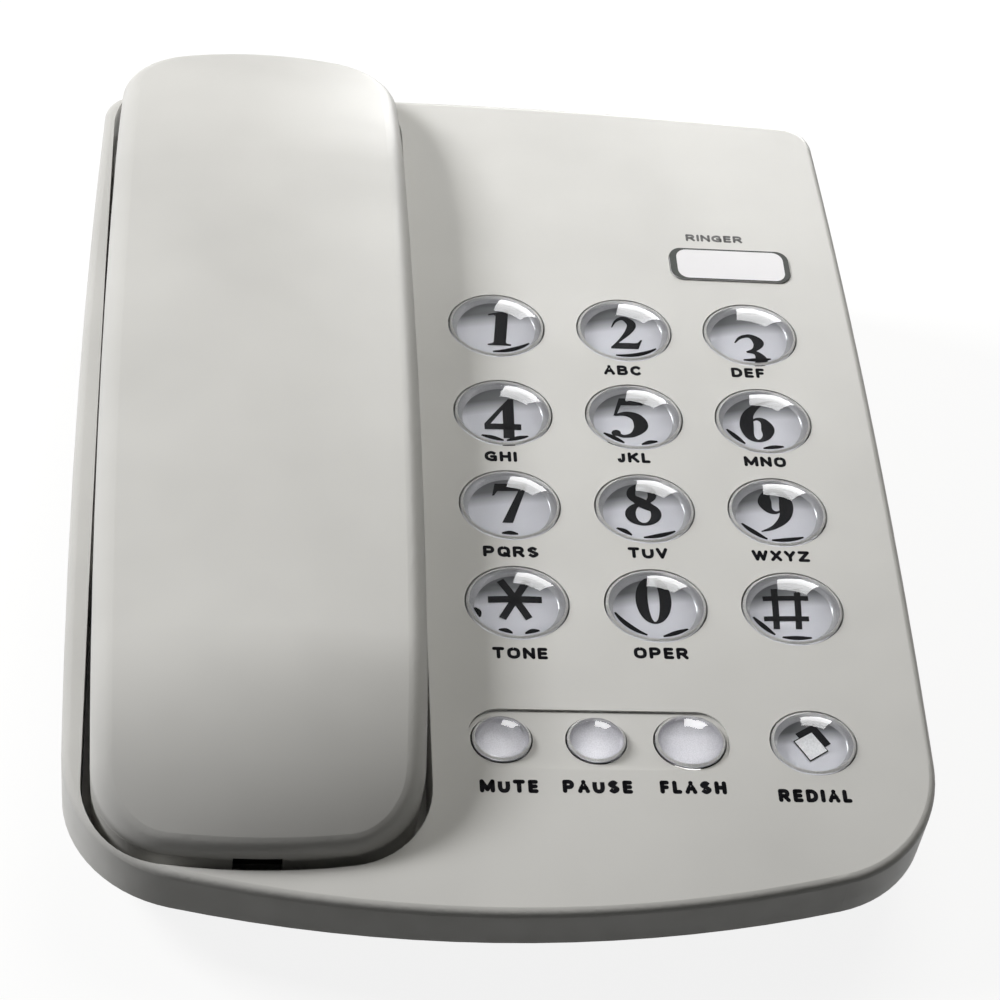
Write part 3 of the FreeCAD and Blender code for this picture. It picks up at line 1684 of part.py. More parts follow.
node(
    cradle_box(
        "handset_weight",
        S.weight_width,
        S.weight_length,
        S.weight_thickness,
        0,
        0,
        GRIP_FLOOR + S.jack_seat_gap,
    ),
    "handset_weight",
)

# Export

doc.recompute()
faults = [thing.Name for thing in doc.Objects if {"Invalid", "Error"} & set(thing.State)]
if faults:
    raise RuntimeError("failed objects: " + ", ".join(faults))
for thing in NODES:
    shape = thing.Shape
    if shape.isNull() or not shape.isValid() or not shape.Solids:
        raise RuntimeError("bad shape: " + thing.Label)
ear_end_y = from_cradle(NONE, S.handset_length / 2, S.cap_edge_radius - S.cap_depth)[1]
overhang = ear_end_y - S.base_depth / 2
for thing in NODES:
    moved = thing.Shape.copy()
    moved.translate(Vector(0, -overhang.value / 2, 0))
    moved.exportStep(f"parts/{thing.Label}.step")
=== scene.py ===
import json
import math

import bpy
from mathutils import Matrix, Vector


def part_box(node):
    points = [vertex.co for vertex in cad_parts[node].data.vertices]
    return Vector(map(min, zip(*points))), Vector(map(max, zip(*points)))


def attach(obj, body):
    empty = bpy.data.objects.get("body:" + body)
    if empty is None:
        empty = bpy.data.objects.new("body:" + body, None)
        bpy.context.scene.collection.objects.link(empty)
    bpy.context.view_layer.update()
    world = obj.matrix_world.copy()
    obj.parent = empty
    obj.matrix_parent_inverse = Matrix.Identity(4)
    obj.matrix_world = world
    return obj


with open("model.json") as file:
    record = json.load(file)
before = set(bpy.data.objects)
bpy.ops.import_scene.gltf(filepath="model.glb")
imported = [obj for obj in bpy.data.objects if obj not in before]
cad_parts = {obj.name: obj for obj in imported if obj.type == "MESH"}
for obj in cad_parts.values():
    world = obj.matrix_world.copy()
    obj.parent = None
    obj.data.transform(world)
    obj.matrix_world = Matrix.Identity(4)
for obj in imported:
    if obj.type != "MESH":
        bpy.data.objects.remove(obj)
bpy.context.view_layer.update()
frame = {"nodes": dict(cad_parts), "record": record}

# Looks of a corded desk telephone: silvered dishes and printed signs inside clear keys, with a painted shade
# at
# # the rear of the dial keys' prints, painted reflections of their signs and a pale rim of painted light in
# each
# # key, lettering on the face, a painted shade round the ringer window, plastics with grain and wear, and a
# plain
# # light studio. Lengths on the telephone are in millimetres and become metres where they are used. The
# studio's
# # lengths are in metres.

MM = 0.001

# The keypad face leans back about X. The face frame has its origin on the face above the middle of the base:
# x to the right, y up along the face, z out of it.
FACE_LEAN = math.radians(8)
FACE_HEIGHT = 35
BASE_LOW, BASE_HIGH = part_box("base_top_cover")
BASE_MIDDLE = (BASE_LOW.y + BASE_HIGH.y) / 2
FACE = Matrix.Translation((0, BASE_MIDDLE, FACE_HEIGHT * MM)) @ Matrix.Rotation(FACE_LEAN, 4, "X")

NODES = frame["nodes"]
BODY_OF = {
    node: body for body, nodes in frame["record"]["behaviour"]["bodies"].items() for node in nodes
}


# Geometry helpers

CURVE_STEPS = 8


def face_extent(node):
    """Lowest and highest x, along and out of a node, in millimetres of the face frame."""
    to_face = FACE.inverted()
    points = [to_face @ vertex.co for vertex in NODES[node].data.vertices]
    lows = [min(point[i] for point in points) / MM for i in range(3)]
    highs = [max(point[i] for point in points) / MM for i in range(3)]
    return lows, highs


def make_mesh(name, points, faces, material, body, smooth=False):
    """A mesh piece from world points in metres, riding on a body."""
    mesh = bpy.data.meshes.new(name)
    mesh.from_pydata([tuple(point) for point in points], [], faces)
    mesh.update()
    if smooth:
        mesh.shade_smooth()
    piece = bpy.data.objects.new(name, mesh)
    bpy.context.scene.collection.objects.link(piece)
    mesh.materials.append(material)
    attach(piece, body)
    return piece


def joined(outlines):
    """The outlines in runs: each shares an edge with one before it in its run, and turns the same way."""
    runs, edges = [], set()
    for outline in outlines:
        corners = [(round(x, 6), round(y, 6)) for x, y in outline]
        corners = [corner for i, corner in enumerate(corners) if corner != corners[i - 1]]
        sides = list(zip(corners, corners[1:] + corners[:1]))
        if len(set(corners)) < max(3, len(corners)):
            continue
        if any(side in edges for side in sides) or not any(side[::-1] in edges for side in sides):
            runs.append([])
            edges = set()
        runs[-1].append(corners)
        edges.update(sides)
    return runs


def turn_area(corners):
    """Twice the area inside some corners, above zero where they go round to the left."""
    return sum(a * d - b * c for (a, b), (c, d) in zip(corners, corners[1:] + corners[:1]))


def flat_shape(outlines, seat, thickness):
    """Points and faces of flat outlines in millimetres, made into thin plates on a seat matrix."""
    points, faces = [], []
    for run in joined(outlines):
        if sum(turn_area(corners) for corners in run) < 0:
            run = [corners[::-1] for corners in run]
        places = {}
        turns = [[places.setdefault(corner, len(places)) for corner in corners] for corners in run]
        low = len(points)
        high = low + len(places)
        points += [seat @ Vector((x * MM, y * MM, level * MM)) for level in (0, thickness) for x, y in places]
        edges = [edge for turn in turns for edge in zip(turn, turn[1:] + turn[:1])]
        walled = set(edges)
        faces += [[low + i for i in reversed(turn)] for turn in turns]
        faces += [[high + i for i in turn] for turn in turns]
        faces += [[low + i, low + j, high + j, high + i] for i, j in edges if (j, i) not in walled]
    return points, faces


def curve_through(points):
    """Points on a smooth curve through the given ones; each may carry extra numbers, such as a width."""
    ends = [points[0]] + list(points) + [points[-1]]
    line = []
    for i in range(1, len(ends) - 2):
        before, here, after, beyond = ends[i - 1 : i + 3]
        for step in range(CURVE_STEPS):
            t = step / CURVE_STEPS
            line.append(
                tuple(
                    0.5
                    * (
                        2 * b
                        + (c - a) * t
                        + (2 * a - 5 * b + 4 * c - d) * t**2
                        + (3 * b - a - 3 * c + d) * t**3
                    )
                    for a, b, c, d in zip(before, here, after, beyond)
                )
            )
    line.append(tuple(points[-1]))
    return line


def ellipse(x, y, half_width, half_height, count):
    return [
        (
            x + half_width * math.cos(2 * math.pi * i / count),
            y + half_height * math.sin(2 * math.pi * i / count),
        )
        for i in range(count)
    ]


# Materials


def new_material(name):
    material = bpy.data.materials.new(name)
    material.use_nodes = True
    nodes, links = material.node_tree.nodes, material.node_tree.links
    nodes.clear()
    output = nodes.new("ShaderNodeOutputMaterial")
    shader = nodes.new("ShaderNodeBsdfPrincipled")
    links.new(shader.outputs["BSDF"], output.inputs["Surface"])
    return material, nodes, links, shader


def noise(nodes, links, scale, detail, stretch=None):
    """Noise in the object's own space; scale is in cells per metre."""
    place = nodes.new("ShaderNodeTexCoord")
    texture = nodes.new("ShaderNodeTexNoise")
    texture.inputs["Scale"].default_value = scale
    texture.inputs["Detail"].default_value = detail
    source = place.outputs["Object"]
    if stretch:
        mapping = nodes.new("ShaderNodeMapping")
        mapping.inputs["Scale"].default_value = stretch
        links.new(source, mapping.inputs["Vector"])
        source = mapping.outputs["Vector"]
    links.new(source, texture.inputs["Vector"])
    return texture.outputs["Fac"]


def spread(nodes, links, source, low, high, lowest=0.3, highest=0.7):
    """Noise, which stays near 0.5, spread evenly between two values."""
    ranger = nodes.new("ShaderNodeMapRange")
    ranger.inputs["From Min"].default_value = lowest
    ranger.inputs["From Max"].default_value = highest
    ranger.inputs["To Min"].default_value = low
    ranger.inputs["To Max"].default_value = high
    links.new(source, ranger.inputs["Value"])
    return ranger.outputs["Result"]


def blend_colours(nodes, links, factor, first, second):
    mix = nodes.new("ShaderNodeMix")
    mix.data_type = "RGBA"
    mix.inputs["A"].default_value = (*first, 1)
    mix.inputs["B"].default_value = (*second, 1)
    links.new(factor, mix.inputs["Factor"])
    return mix.outputs["Result"]


def add_bump(nodes, links, shader, source, height):
    """Surface relief; height is in millimetres."""
    bump = nodes.new("ShaderNodeBump")
    bump.inputs["Strength"].default_value = 1.0
    bump.inputs["Distance"].default_value = height * MM
    links.new(source, bump.inputs["Height"])
    links.new(bump.outputs["Normal"], shader.inputs["Normal"])


def shade(colour, factor):
    return tuple(channel * factor for channel in colour)


# Scales of the patterns, which are cells per metre where a pattern is a noise
MOTTLING = 34
MARKS = 260
BRUSHING = 900
WIPES = 500
SPARKLE = 5200
PRINT_GRAIN = 3000
WEAVE = 420
BOARD_DUST = 400
# Relief in millimetres
FOIL_GRAIN = 0.004
BRUSH_DEPTH = 0.01
WEAVE_DEPTH = 0.01
# Gloss and refraction
COAT_ROUGHNESS = 0.25
ACRYLIC_IOR = 1.49
ACRYLIC_ROUGHNESS = 0.02
INK_ROUGHNESS = 0.5
INK_SHEEN = 0.08


def moulded(name, colour, roughness, grain=0.004, grain_scale=2600, mottle=0.06, coat=0.0):
    """Moulded plastic: faint mottling, fine grain, and handling marks that change its gloss.

    The grain is a depth in millimetres and its scale is in cells per metre.
    """
    material, nodes, links, shader = new_material(name)
    broad = spread(nodes, links, noise(nodes, links, MOTTLING, 2.0), 0, 1)
    tone = blend_colours(nodes, links, broad, shade(colour, 1 - mottle), shade(colour, 1 + mottle / 2))
    links.new(tone, shader.inputs["Base Color"])
    marks = noise(nodes, links, MARKS, 5.0)
    links.new(spread(nodes, links, marks, roughness * 0.9, roughness * 1.15), shader.inputs["Roughness"])
    add_bump(nodes, links, shader, noise(nodes, links, grain_scale, 2.0), grain)
    shader.inputs["Coat Weight"].default_value = coat
    shader.inputs["Coat Roughness"].default_value = COAT_ROUGHNESS
    return material


def metal(name, colour, roughness, stretch=(1, 1, 1)):
    """Plated or rolled steel with fine brushing."""
    material, nodes, links, shader = new_material(name)
    shader.inputs["Metallic"].default_value = 1.0
    lines = noise(nodes, links, BRUSHING, 4.0, stretch)
    links.new(spread(nodes, links, lines, roughness * 0.8, roughness * 1.3), shader.inputs["Roughness"])
    tone = blend_colours(nodes, links, spread(nodes, links, lines, 0, 1), shade(colour, 0.85), colour)
    links.new(tone, shader.inputs["Base Color"])
    add_bump(nodes, links, shader, lines, BRUSH_DEPTH)
    return material


def clear_plastic(name, tint):
    """Polished clear acrylic with faint wipe marks."""
    material, nodes, links, shader = new_material(name)
    shader.inputs["Transmission Weight"].default_value = 1.0
    shader.inputs["IOR"].default_value = ACRYLIC_IOR
    marks = noise(nodes, links, WIPES, 4.0)
    least, most = ACRYLIC_ROUGHNESS, ACRYLIC_ROUGHNESS * 2.5
    links.new(spread(nodes, links, marks, least, most, 0.45, 0.75), shader.inputs["Roughness"])
    tone = blend_colours(nodes, links, spread(nodes, links, marks, 0, 1), tint, shade(tint, 0.97))
    links.new(tone, shader.inputs["Base Color"])
    return material


def foil(name, colour, roughness, metallic):
    """Silver behind a clear key: part metal, with a fine sparkle."""
    material, nodes, links, shader = new_material(name)
    shader.inputs["Metallic"].default_value = metallic
    sparkle = noise(nodes, links, SPARKLE, 2.0)
    factor = spread(nodes, links, sparkle, 0, 1)
    tone = blend_colours(nodes, links, factor, shade(colour, 0.88), shade(colour, 1.06))
    links.new(tone, shader.inputs["Base Color"])
    links.new(spread(nodes, links, sparkle, roughness * 0.8, roughness * 1.2), shader.inputs["Roughness"])
    add_bump(nodes, links, shader, sparkle, FOIL_GRAIN)
    return material


def print_with_painted_shade(name, low, high, start, end, skew):
    """Print with a painted shade: it goes from its low colour at the front of its key to its high colour,
    a dark painted shade, at the rear.

    The change starts and ends at shares of the print's depth, and skew moves it back towards the right.
    """
    material, nodes, links, shader = new_material(name)
    place = nodes.new("ShaderNodeTexCoord")
    parts = nodes.new("ShaderNodeSeparateXYZ")
    links.new(place.outputs["Generated"], parts.inputs["Vector"])
    lean = nodes.new("ShaderNodeMath")
    lean.operation = "MULTIPLY_ADD"
    lean.inputs[1].default_value = -skew
    links.new(parts.outputs["X"], lean.inputs[0])
    links.new(parts.outputs["Y"], lean.inputs[2])
    factor = spread(nodes, links, lean.outputs[0], 0, 1, start, end)
    links.new(blend_colours(nodes, links, factor, low, high), shader.inputs["Base Color"])
    grainy = noise(nodes, links, PRINT_GRAIN, 3.0)
    links.new(spread(nodes, links, grainy, 0.4, 0.55), shader.inputs["Roughness"])
    return material


def ink(name, colour):
    """Printed ink, a little uneven."""
    material, nodes, links, shader = new_material(name)
    grainy = noise(nodes, links, PRINT_GRAIN, 3.0)
    factor = spread(nodes, links, grainy, 0, 1)
    tone = blend_colours(nodes, links, factor, shade(colour, 0.9), shade(colour, 1.1))
    links.new(tone, shader.inputs["Base Color"])
    least, most = INK_ROUGHNESS * 0.85, INK_ROUGHNESS * 1.1
    links.new(spread(nodes, links, grainy, least, most), shader.inputs["Roughness"])
    shader.inputs["Specular IOR Level"].default_value = INK_SHEEN
    return material


def laminate(name, colour):
    """Coated circuit board with its woven glass showing faintly."""
    material, nodes, links, shader = new_material(name)
    weave = nodes.new("ShaderNodeTexWave")
    weave.inputs["Scale"].default_value = WEAVE
    weave.inputs["Distortion"].default_value = 0.6
    place = nodes.new("ShaderNodeTexCoord")
    links.new(place.outputs["Object"], weave.inputs["Vector"])
    tone = blend_colours(nodes, links, weave.outputs["Fac"], shade(colour, 0.85), shade(colour, 1.15))
    links.new(tone, shader.inputs["Base Color"])
    rough = spread(nodes, links, noise(nodes, links, BOARD_DUST, 3.0), 0.28, 0.4)
    links.new(rough, shader.inputs["Roughness"])
    add_bump(nodes, links, shader, weave.outputs["Fac"], WEAVE_DEPTH)
    return material


IVORY = (0.655, 0.648, 0.62)
# The material of each slot
MATERIALS = {
    "base_plastic": moulded("base plastic", IVORY, 0.42, grain=0.006),
    "handset_plastic": moulded("handset plastic", IVORY, 0.42, grain=0.003, grain_scale=1800),
    "underside_plastic": moulded("underside plastic", shade(IVORY, 0.92), 0.55, grain=0.02, grain_scale=1500),
    "dark_plastic": moulded("dark plastic", (0.03, 0.03, 0.032), 0.4, grain=0.006),
    "rubber": moulded("rubber", (0.022, 0.022, 0.022), 0.75, grain=0.02, grain_scale=1500),
    "silicone": moulded("silicone", (0.5, 0.5, 0.49), 0.6, grain=0.01),
    "lamp": moulded("lamp plastic", (0.45, 0.03, 0.02), 0.15, grain=0.001),
    "board": laminate("board laminate", (0.03, 0.16, 0.06)),
    "screw_steel": metal("plated steel", (0.62, 0.62, 0.62), 0.3),
    "spring_steel": metal("spring wire", (0.5, 0.5, 0.52), 0.3),
    "ballast_steel": metal("ballast steel", (0.38, 0.37, 0.36), 0.45, stretch=(1, 12, 12)),
    "clear_key": clear_plastic("clear key", (0.97, 0.98, 0.985)),
    "lens": moulded("milky window", (0.97, 0.96, 0.98), 0.12, grain=0.001, mottle=0.02, coat=0.5),
}
# The materials of the added pieces
# Silver print for the dial keys' dishes, going to a painted shade towards the rear of each key
SILVER_AND_PAINTED_SHADE = print_with_painted_shade("silver print with painted shade", (0.66, 0.66, 0.71), (0.15, 0.155, 0.165), 0.52, 0.74, 0.12)
MIRROR = foil("silvered dish", (0.72, 0.72, 0.74), 0.22, 0.4)
PALE_DISH = foil("pale dish", (0.74, 0.73, 0.78), 0.35, 0.05)
BLACK_INK = ink("black ink", (0.004, 0.004, 0.006))
GREY_INK = ink("grey ink", (0.2, 0.2, 0.2))
WHITE_INK = ink("white ink", (0.86, 0.86, 0.88))
# A dark edge painted round the ringer window as the shade of its gap and its ends
WINDOW_PAINTED_SHADE = ink("window edge painted shade", (0.085, 0.09, 0.085))
# A pale ring of painted light inside each key's edge, where the clear key would show the shade of the gap
# round it
RIM_PAINTED_LIGHT = ink("rim painted light", (0.72, 0.71, 0.69))


def dress_nodes():
    for entry in frame["record"]["subparts"]:
        mesh = NODES[entry["node"]].data
        mesh.materials.clear()
        mesh.materials.append(MATERIALS[entry["material_slot"]])


# Signs, drawn about one unit high: closed outlines, and pen strokes of (x, y, half width)

RING_COUNT = 48
BALL_COUNT = 20


def ring(x, y, half_width, half_height, inner_width, inner_height):
    """An oval ring as quads."""
    outer = ellipse(x, y, half_width, half_height, RING_COUNT)
    inner = ellipse(x, y, inner_width, inner_height, RING_COUNT)
    return [
        [outer[i], outer[(i + 1) % RING_COUNT], inner[(i + 1) % RING_COUNT], inner[i]]
        for i in range(RING_COUNT)
    ]


def pen(*points, smooth=True):
    """A pen stroke of changing width as quads."""
    line = curve_through(points) if smooth else list(points)
    sides = []
    for i, (x, y, half) in enumerate(line):
        ahead, behind = line[min(i + 1, len(line) - 1)], line[max(i - 1, 0)]
        run, rise = ahead[0] - behind[0], ahead[1] - behind[1]
        length = math.hypot(run, rise)
        across, up = rise / length * half, run / length * half
        sides.append(((x - across, y + up), (x + across, y - up)))
    return [[a[0], a[1], b[1], b[0]] for a, b in zip(sides, sides[1:])]


def turned(shapes, degrees):
    """Shapes turned to the left about a sign's middle."""
    c, s = math.cos(math.radians(degrees)), math.sin(math.radians(degrees))
    return [[(x * c - (y - 0.5) * s, 0.5 + x * s + (y - 0.5) * c) for x, y in shape] for shape in shapes]


def ball(x, y, radius):
    """A round blot at the end of a stroke."""
    return [ellipse(x, y, radius, radius, BALL_COUNT)]


SIX = pen(
    (0.3, 0.985, 0.012),
    (0.06, 0.88, 0.05),
    (-0.14, 0.66, 0.1),
    (-0.19, 0.38, 0.125),
    (-0.14, 0.13, 0.075),
    (0.0, 0.035, 0.03),
    (0.14, 0.13, 0.075),
    (0.18, 0.31, 0.12),
    (0.12, 0.49, 0.07),
    (0.0, 0.55, 0.03),
    (-0.13, 0.48, 0.02),
)
STAR_ARM = [[(-0.078, 0.5), (0.078, 0.5), (0.078, 1.04), (-0.078, 1.04)]]
FIVE_BOWL = pen(
    (-0.25, 0.57, 0.02),
    (-0.05, 0.6, 0.06),
    (0.12, 0.5, 0.1),
    (0.175, 0.29, 0.12),
    (0.05, 0.09, 0.065),
    (-0.12, 0.035, 0.035),
    (-0.24, 0.1, 0.05),
)
GLYPHS = {
    "0": ring(0, 0.5, 0.385, 0.5, 0.125, 0.455),
    "1": [
        [(-0.13, 0.04), (0.1, 0.04), (0.17, 1.0), (0.12, 1.0), (-0.06, 0.93)],
        [(-0.06, 0.93), (0.12, 1.0), (-0.2, 0.9), (-0.2, 0.86), (-0.1, 0.88), (-0.07, 0.84)],
        [
            (-0.24, 0.0),
            (0.2, 0.0),
            (0.2, 0.04),
            (0.12, 0.06),
            (0.1, 0.1),
            (-0.12, 0.1),
            (-0.16, 0.06),
            (-0.24, 0.04),
        ],
    ],
    "2": pen(
        (-0.33, 0.66, 0.014),
        (-0.22, 0.86, 0.035),
        (-0.04, 0.94, 0.06),
        (0.14, 0.76, 0.11),
        (0.05, 0.52, 0.08),
        (-0.14, 0.28, 0.04),
        (-0.32, 0.09, 0.02),
    )
    + [
        [(-0.38, 0.0), (0.28, 0.0), (0.2, 0.18), (-0.24, 0.18), (-0.38, 0.06)],
        [(0.28, 0.0), (0.38, 0.29), (0.34, 0.29), (0.27, 0.2), (0.2, 0.18)],
    ],
    "3": pen(
        (-0.29, 0.77, 0.014),
        (-0.18, 0.91, 0.035),
        (0.0, 0.945, 0.05),
        (0.14, 0.78, 0.1),
        (0.06, 0.6, 0.05),
        (-0.09, 0.53, 0.02),
    )
    + pen(
        (-0.09, 0.53, 0.02),
        (0.09, 0.5, 0.055),
        (0.175, 0.29, 0.12),
        (0.06, 0.08, 0.065),
        (-0.1, 0.035, 0.03),
        (-0.25, 0.1, 0.05),
    )
    + ball(-0.25, 0.12, 0.08),
    "4": [
        [(0.0, 0.0), (0.23, 0.0), (0.23, 1.0), (0.12, 1.0), (0.0, 0.84)],
        [(-0.38, 0.225), (0.37, 0.225), (0.37, 0.37), (-0.38, 0.37)],
        [(-0.38, 0.37), (-0.25, 0.37), (0.02, 0.74), (0.12, 1.0)],
    ],
    "5": [
        [(-0.15, 1.0), (-0.17, 0.82), (0.22, 0.82), (0.34, 1.01), (0.3, 1.02), (0.22, 0.99)],
        [(-0.15, 1.0), (-0.27, 0.56), (-0.22, 0.56), (-0.12, 0.84)],
    ]
    + FIVE_BOWL
    + ball(-0.25, 0.12, 0.08),
    "6": SIX,
    "7": [
        [(-0.3, 1.0), (-0.37, 0.69), (-0.33, 0.69), (-0.25, 0.81), (0.18, 0.81), (0.37, 1.0)],
        [(0.37, 1.0), (0.18, 0.81), (-0.19, 0.0), (0.04, 0.0), (0.37, 0.95)],
    ],
    "8": ring(0, 0.755, 0.285, 0.245, 0.115, 0.19)
    + ring(0, 0.275, 0.35, 0.275, 0.145, 0.21)
    + pen((-0.18, 0.67, 0.07), (0.0, 0.53, 0.11), (0.2, 0.4, 0.08)),
    "9": turned(SIX, 180.0),
    "star": [shape for i in range(6) for shape in turned(STAR_ARM, 90 + 60.0 * i)],
    "hash": [
        [(-0.32, 0.0), (-0.18, 0.0), (-0.13, 1.0), (-0.27, 1.0)],
        [(0.16, 0.0), (0.3, 0.0), (0.35, 1.0), (0.21, 1.0)],
        [(-0.5, 0.2), (0.47, 0.2), (0.47, 0.32), (-0.5, 0.32)],
        [(-0.47, 0.7), (0.5, 0.7), (0.5, 0.82), (-0.47, 0.82)],
    ],
}
# The redial sign, a tilted box
TILTED = [[(-0.49, 0.69), (0.07, 1.0), (0.49, 0.36), (-0.07, 0.0)]]

# Width and height of each sign as printed, and how far its middle lies from the key's, in millimetres
SIGNS = {
    "1": (4.2, 6.9, 0.5, 0.4),
    "2": (5.7, 6.4, 0.5, 0.4),
    "3": (6.2, 7.6, 0.1, -2.8),
    "4": (6.4, 7.5, 0.0, -0.3),
    "5": (7.0, 7.8, -0.5, 0.7),
    "6": (6.1, 8.1, -0.9, 0.8),
    "7": (5.9, 7.2, 0.2, 1.1),
    "8": (6.2, 7.7, -0.1, 1.5),
    "9": (6.0, 8.0, 0.1, 1.1),
    "star": (8.8, 7.3, -0.2, 1.3),
    "0": (5.9, 8.4, -0.1, 1.7),
    "hash": (7.8, 7.2, -0.8, 0.7),
}
REDIAL_SIGN = (5.4, 4.9, -0.2, 0.0)
# How far the black copy behind the redial sign is moved, and the breadth of the sign's outline
REDIAL_SHIFT = (0.5, 1.2)
REDIAL_LINE = 0.22

# Each kind of key: the flange round its stem, and how far its dish runs in and goes down
DIAL_KEY = (1.0, 2.6, 2.7)
SMALL_KEY = (0.6, 1.8, 1.4)
REDIAL_KEY = (0.6, 2.2, 2.4)

PRINT_THICKNESS = 0.03
RIM_BELOW_FACE = 0.2
RIM_INSET = 0.05
RIM_WIDTH = 0.7
DISH_WALL = 0.08
DISH_COUNT = 72
DISH_STEPS = 9
DISH_STEEPEST = math.radians(78)
DISH_CREASE = math.radians(40)
# The print on a dish's bottom, which on a dial key goes to a painted shade at its rear: how much of the
# dish's
# # run it leaves free, and its corners
GROUND_FREE = 0.9
GROUND_COUNT = 64


def key_seat(node, flange):
    """Matrix of a key's own frame, on the face, with the half width and half depth of its stem."""
    lows, highs = face_extent(node)
    x, along = (lows[0] + highs[0]) / 2, (lows[1] + highs[1]) / 2
    seat = FACE @ Matrix.Translation((x * MM, along * MM, 0))
    return seat, (highs[0] - lows[0]) / 2 - flange, (highs[1] - lows[1]) / 2 - flange


def dish(half_width, half_depth, run, depth):
    """Rings of a shallow dish, from its flat bottom up its rounded side and down again underneath."""
    profile = [
        (run * (1 - math.sin(angle)), depth * (1 - math.cos(angle)))
        for angle in (DISH_STEEPEST * i / DISH_STEPS for i in range(DISH_STEPS + 1))
    ]
    levels = [(inset, lift - depth) for inset, lift in profile]
    levels += [(inset - DISH_WALL, lift - depth - DISH_WALL) for inset, lift in reversed(profile)]
    rings = []
    for inset, level in levels:
        outline = ellipse(0, 0, half_width - inset, half_depth - inset, DISH_COUNT)
        rings.append([(x, y, level - RIM_BELOW_FACE) for x, y in outline])
    return rings


def make_dish(name, seat, rings, body, material):
    """A dish piece from its rings: a face across the first and the last, and a band between each two."""
    points = [seat @ (Vector(point) * MM) for outline in rings for point in outline]
    last = (len(rings) - 1) * DISH_COUNT
    faces = [list(range(DISH_COUNT)), [last + i for i in reversed(range(DISH_COUNT))]]
    for level in range(len(rings) - 1):
        for i in range(DISH_COUNT):
            here = level * DISH_COUNT + i
            beside = level * DISH_COUNT + (i + 1) % DISH_COUNT
            faces.append([here, here + DISH_COUNT, beside + DISH_COUNT, beside])
    piece = make_mesh(name, points, faces, material, body, smooth=True)
    piece.data.set_sharp_from_angle(angle=DISH_CREASE)
    return piece


def placed(shapes, width, height, x, y):
    """Shapes fitted to a width and height about a middle, all in millimetres."""
    across = [point[0] for shape in shapes for point in shape]
    upright = [point[1] for shape in shapes for point in shape]
    left, right, low, high = min(across), max(across), min(upright), max(upright)
    return [
        [
            (x + ((a - left) / (right - left) - 0.5) * width, y + ((b - low) / (high - low) - 0.5) * height)
            for a, b in shape
        ]
        for shape in shapes
    ]


def dress_key(node, kind, layers=(), lining=MIRROR, ground_print_and_shade=SILVER_AND_PAINTED_SHADE):
    """A dish inside a clear key with a pale rim of painted light, a print on the dish's bottom, which on a
    dial key goes to a painted shade at its rear, and the key's sign on that.
    """
    flange, run, depth = kind
    body = BODY_OF[node]
    seat, half_width, half_depth = key_seat(node, flange)
    rings = dish(half_width - RIM_WIDTH / 2, half_depth - RIM_WIDTH / 2, run, depth)
    plate = make_dish(node + "_dish", seat, rings, body, lining)
    outer = half_width - RIM_INSET, half_depth - RIM_INSET
    inner = half_width - RIM_WIDTH, half_depth - RIM_WIDTH
    # The rim is painted light: a pale ring just under the face, over the shade of the gap round the key
    edge = seat @ Matrix.Translation((0, 0, -RIM_BELOW_FACE * MM / 2))
    points, faces = flat_shape(ring(0, 0, *outer, *inner), edge, PRINT_THICKNESS)
    rim = make_mesh(node + "_painted_light_rim", points, faces, RIM_PAINTED_LIGHT, body)
    free = run * GROUND_FREE
    ground = [ellipse(0, 0, half_width - free, half_depth - free, GROUND_COUNT)]
    bottom = -depth - RIM_BELOW_FACE
    for i, (shapes, material) in enumerate([(ground, ground_print_and_shade), *layers]):
        low = seat @ Matrix.Translation((0, 0, (bottom + i * 2 * PRINT_THICKNESS) * MM))
        points, faces = flat_shape(shapes, low, PRINT_THICKNESS)
        sign = make_mesh(f"{node}_print_{i}", points, faces, material, body)


# Painted reflections: black streaks along each dial key's lower edge, standing in for its clear dome showing
# the
# # black sign again: how far out they lie and how broad they are, as shares of the key, how much of a sine's
# arch
# # their breadth leaves off at either end, and the start and end angle of each in degrees
GLINT_AT = 0.86
GLINT_WIDTH = 0.13
GLINT_TAPER = 0.12
GLINT_COUNT = 14
PAINTED_REFLECTIONS = {
    "1": ((262, 320),),
    "2": ((254, 318),),
    "3": ((255, 296),),
    "4": ((236, 268), (272, 304)),
    "5": ((218, 252), (276, 300)),
    "6": ((200, 238), (264, 294)),
    "7": ((256, 278),),
    "8": ((224, 248), (264, 311)),
    "9": ((205, 250), (256, 302)),
    "star": ((192, 210), (242, 261), (277, 297)),
    "0": ((195, 254), (275, 312)),
    "hash": ((198, 240), (250, 290)),
}


def streak(half_width, half_depth, start, end):
    """A streak along an oval as quads, narrower towards both ends."""
    outer, inner = [], []
    for i in range(GLINT_COUNT + 1):
        part = i / GLINT_COUNT
        angle = math.radians(start + (end - start) * part)
        x, y = half_width * math.cos(angle), half_depth * math.sin(angle)
        taper = math.sin(math.pi * (GLINT_TAPER + (1 - 2 * GLINT_TAPER) * part))
        outer.append((x, y))
        inner.append((x * (1 - GLINT_WIDTH * taper), y * (1 - GLINT_WIDTH * taper)))
    return [[outer[i], outer[i + 1], inner[i + 1], inner[i]] for i in range(GLINT_COUNT)]


def add_painted_reflections(node, angles):
    """Painted reflections of the sign: black streaks along the lower edge of a dial key."""
    seat, half_width, half_depth = key_seat(node, DIAL_KEY[0])
    half_width, half_depth = half_width * GLINT_AT, half_depth * GLINT_AT
    shapes = [face for pair in angles for face in streak(half_width, half_depth, *pair)]
    low = seat @ Matrix.Translation((0, 0, -RIM_BELOW_FACE * MM))
    points, faces = flat_shape(shapes, low, PRINT_THICKNESS)
    piece = make_mesh(node + "_painted_reflection", points, faces, BLACK_INK, BODY_OF[node])


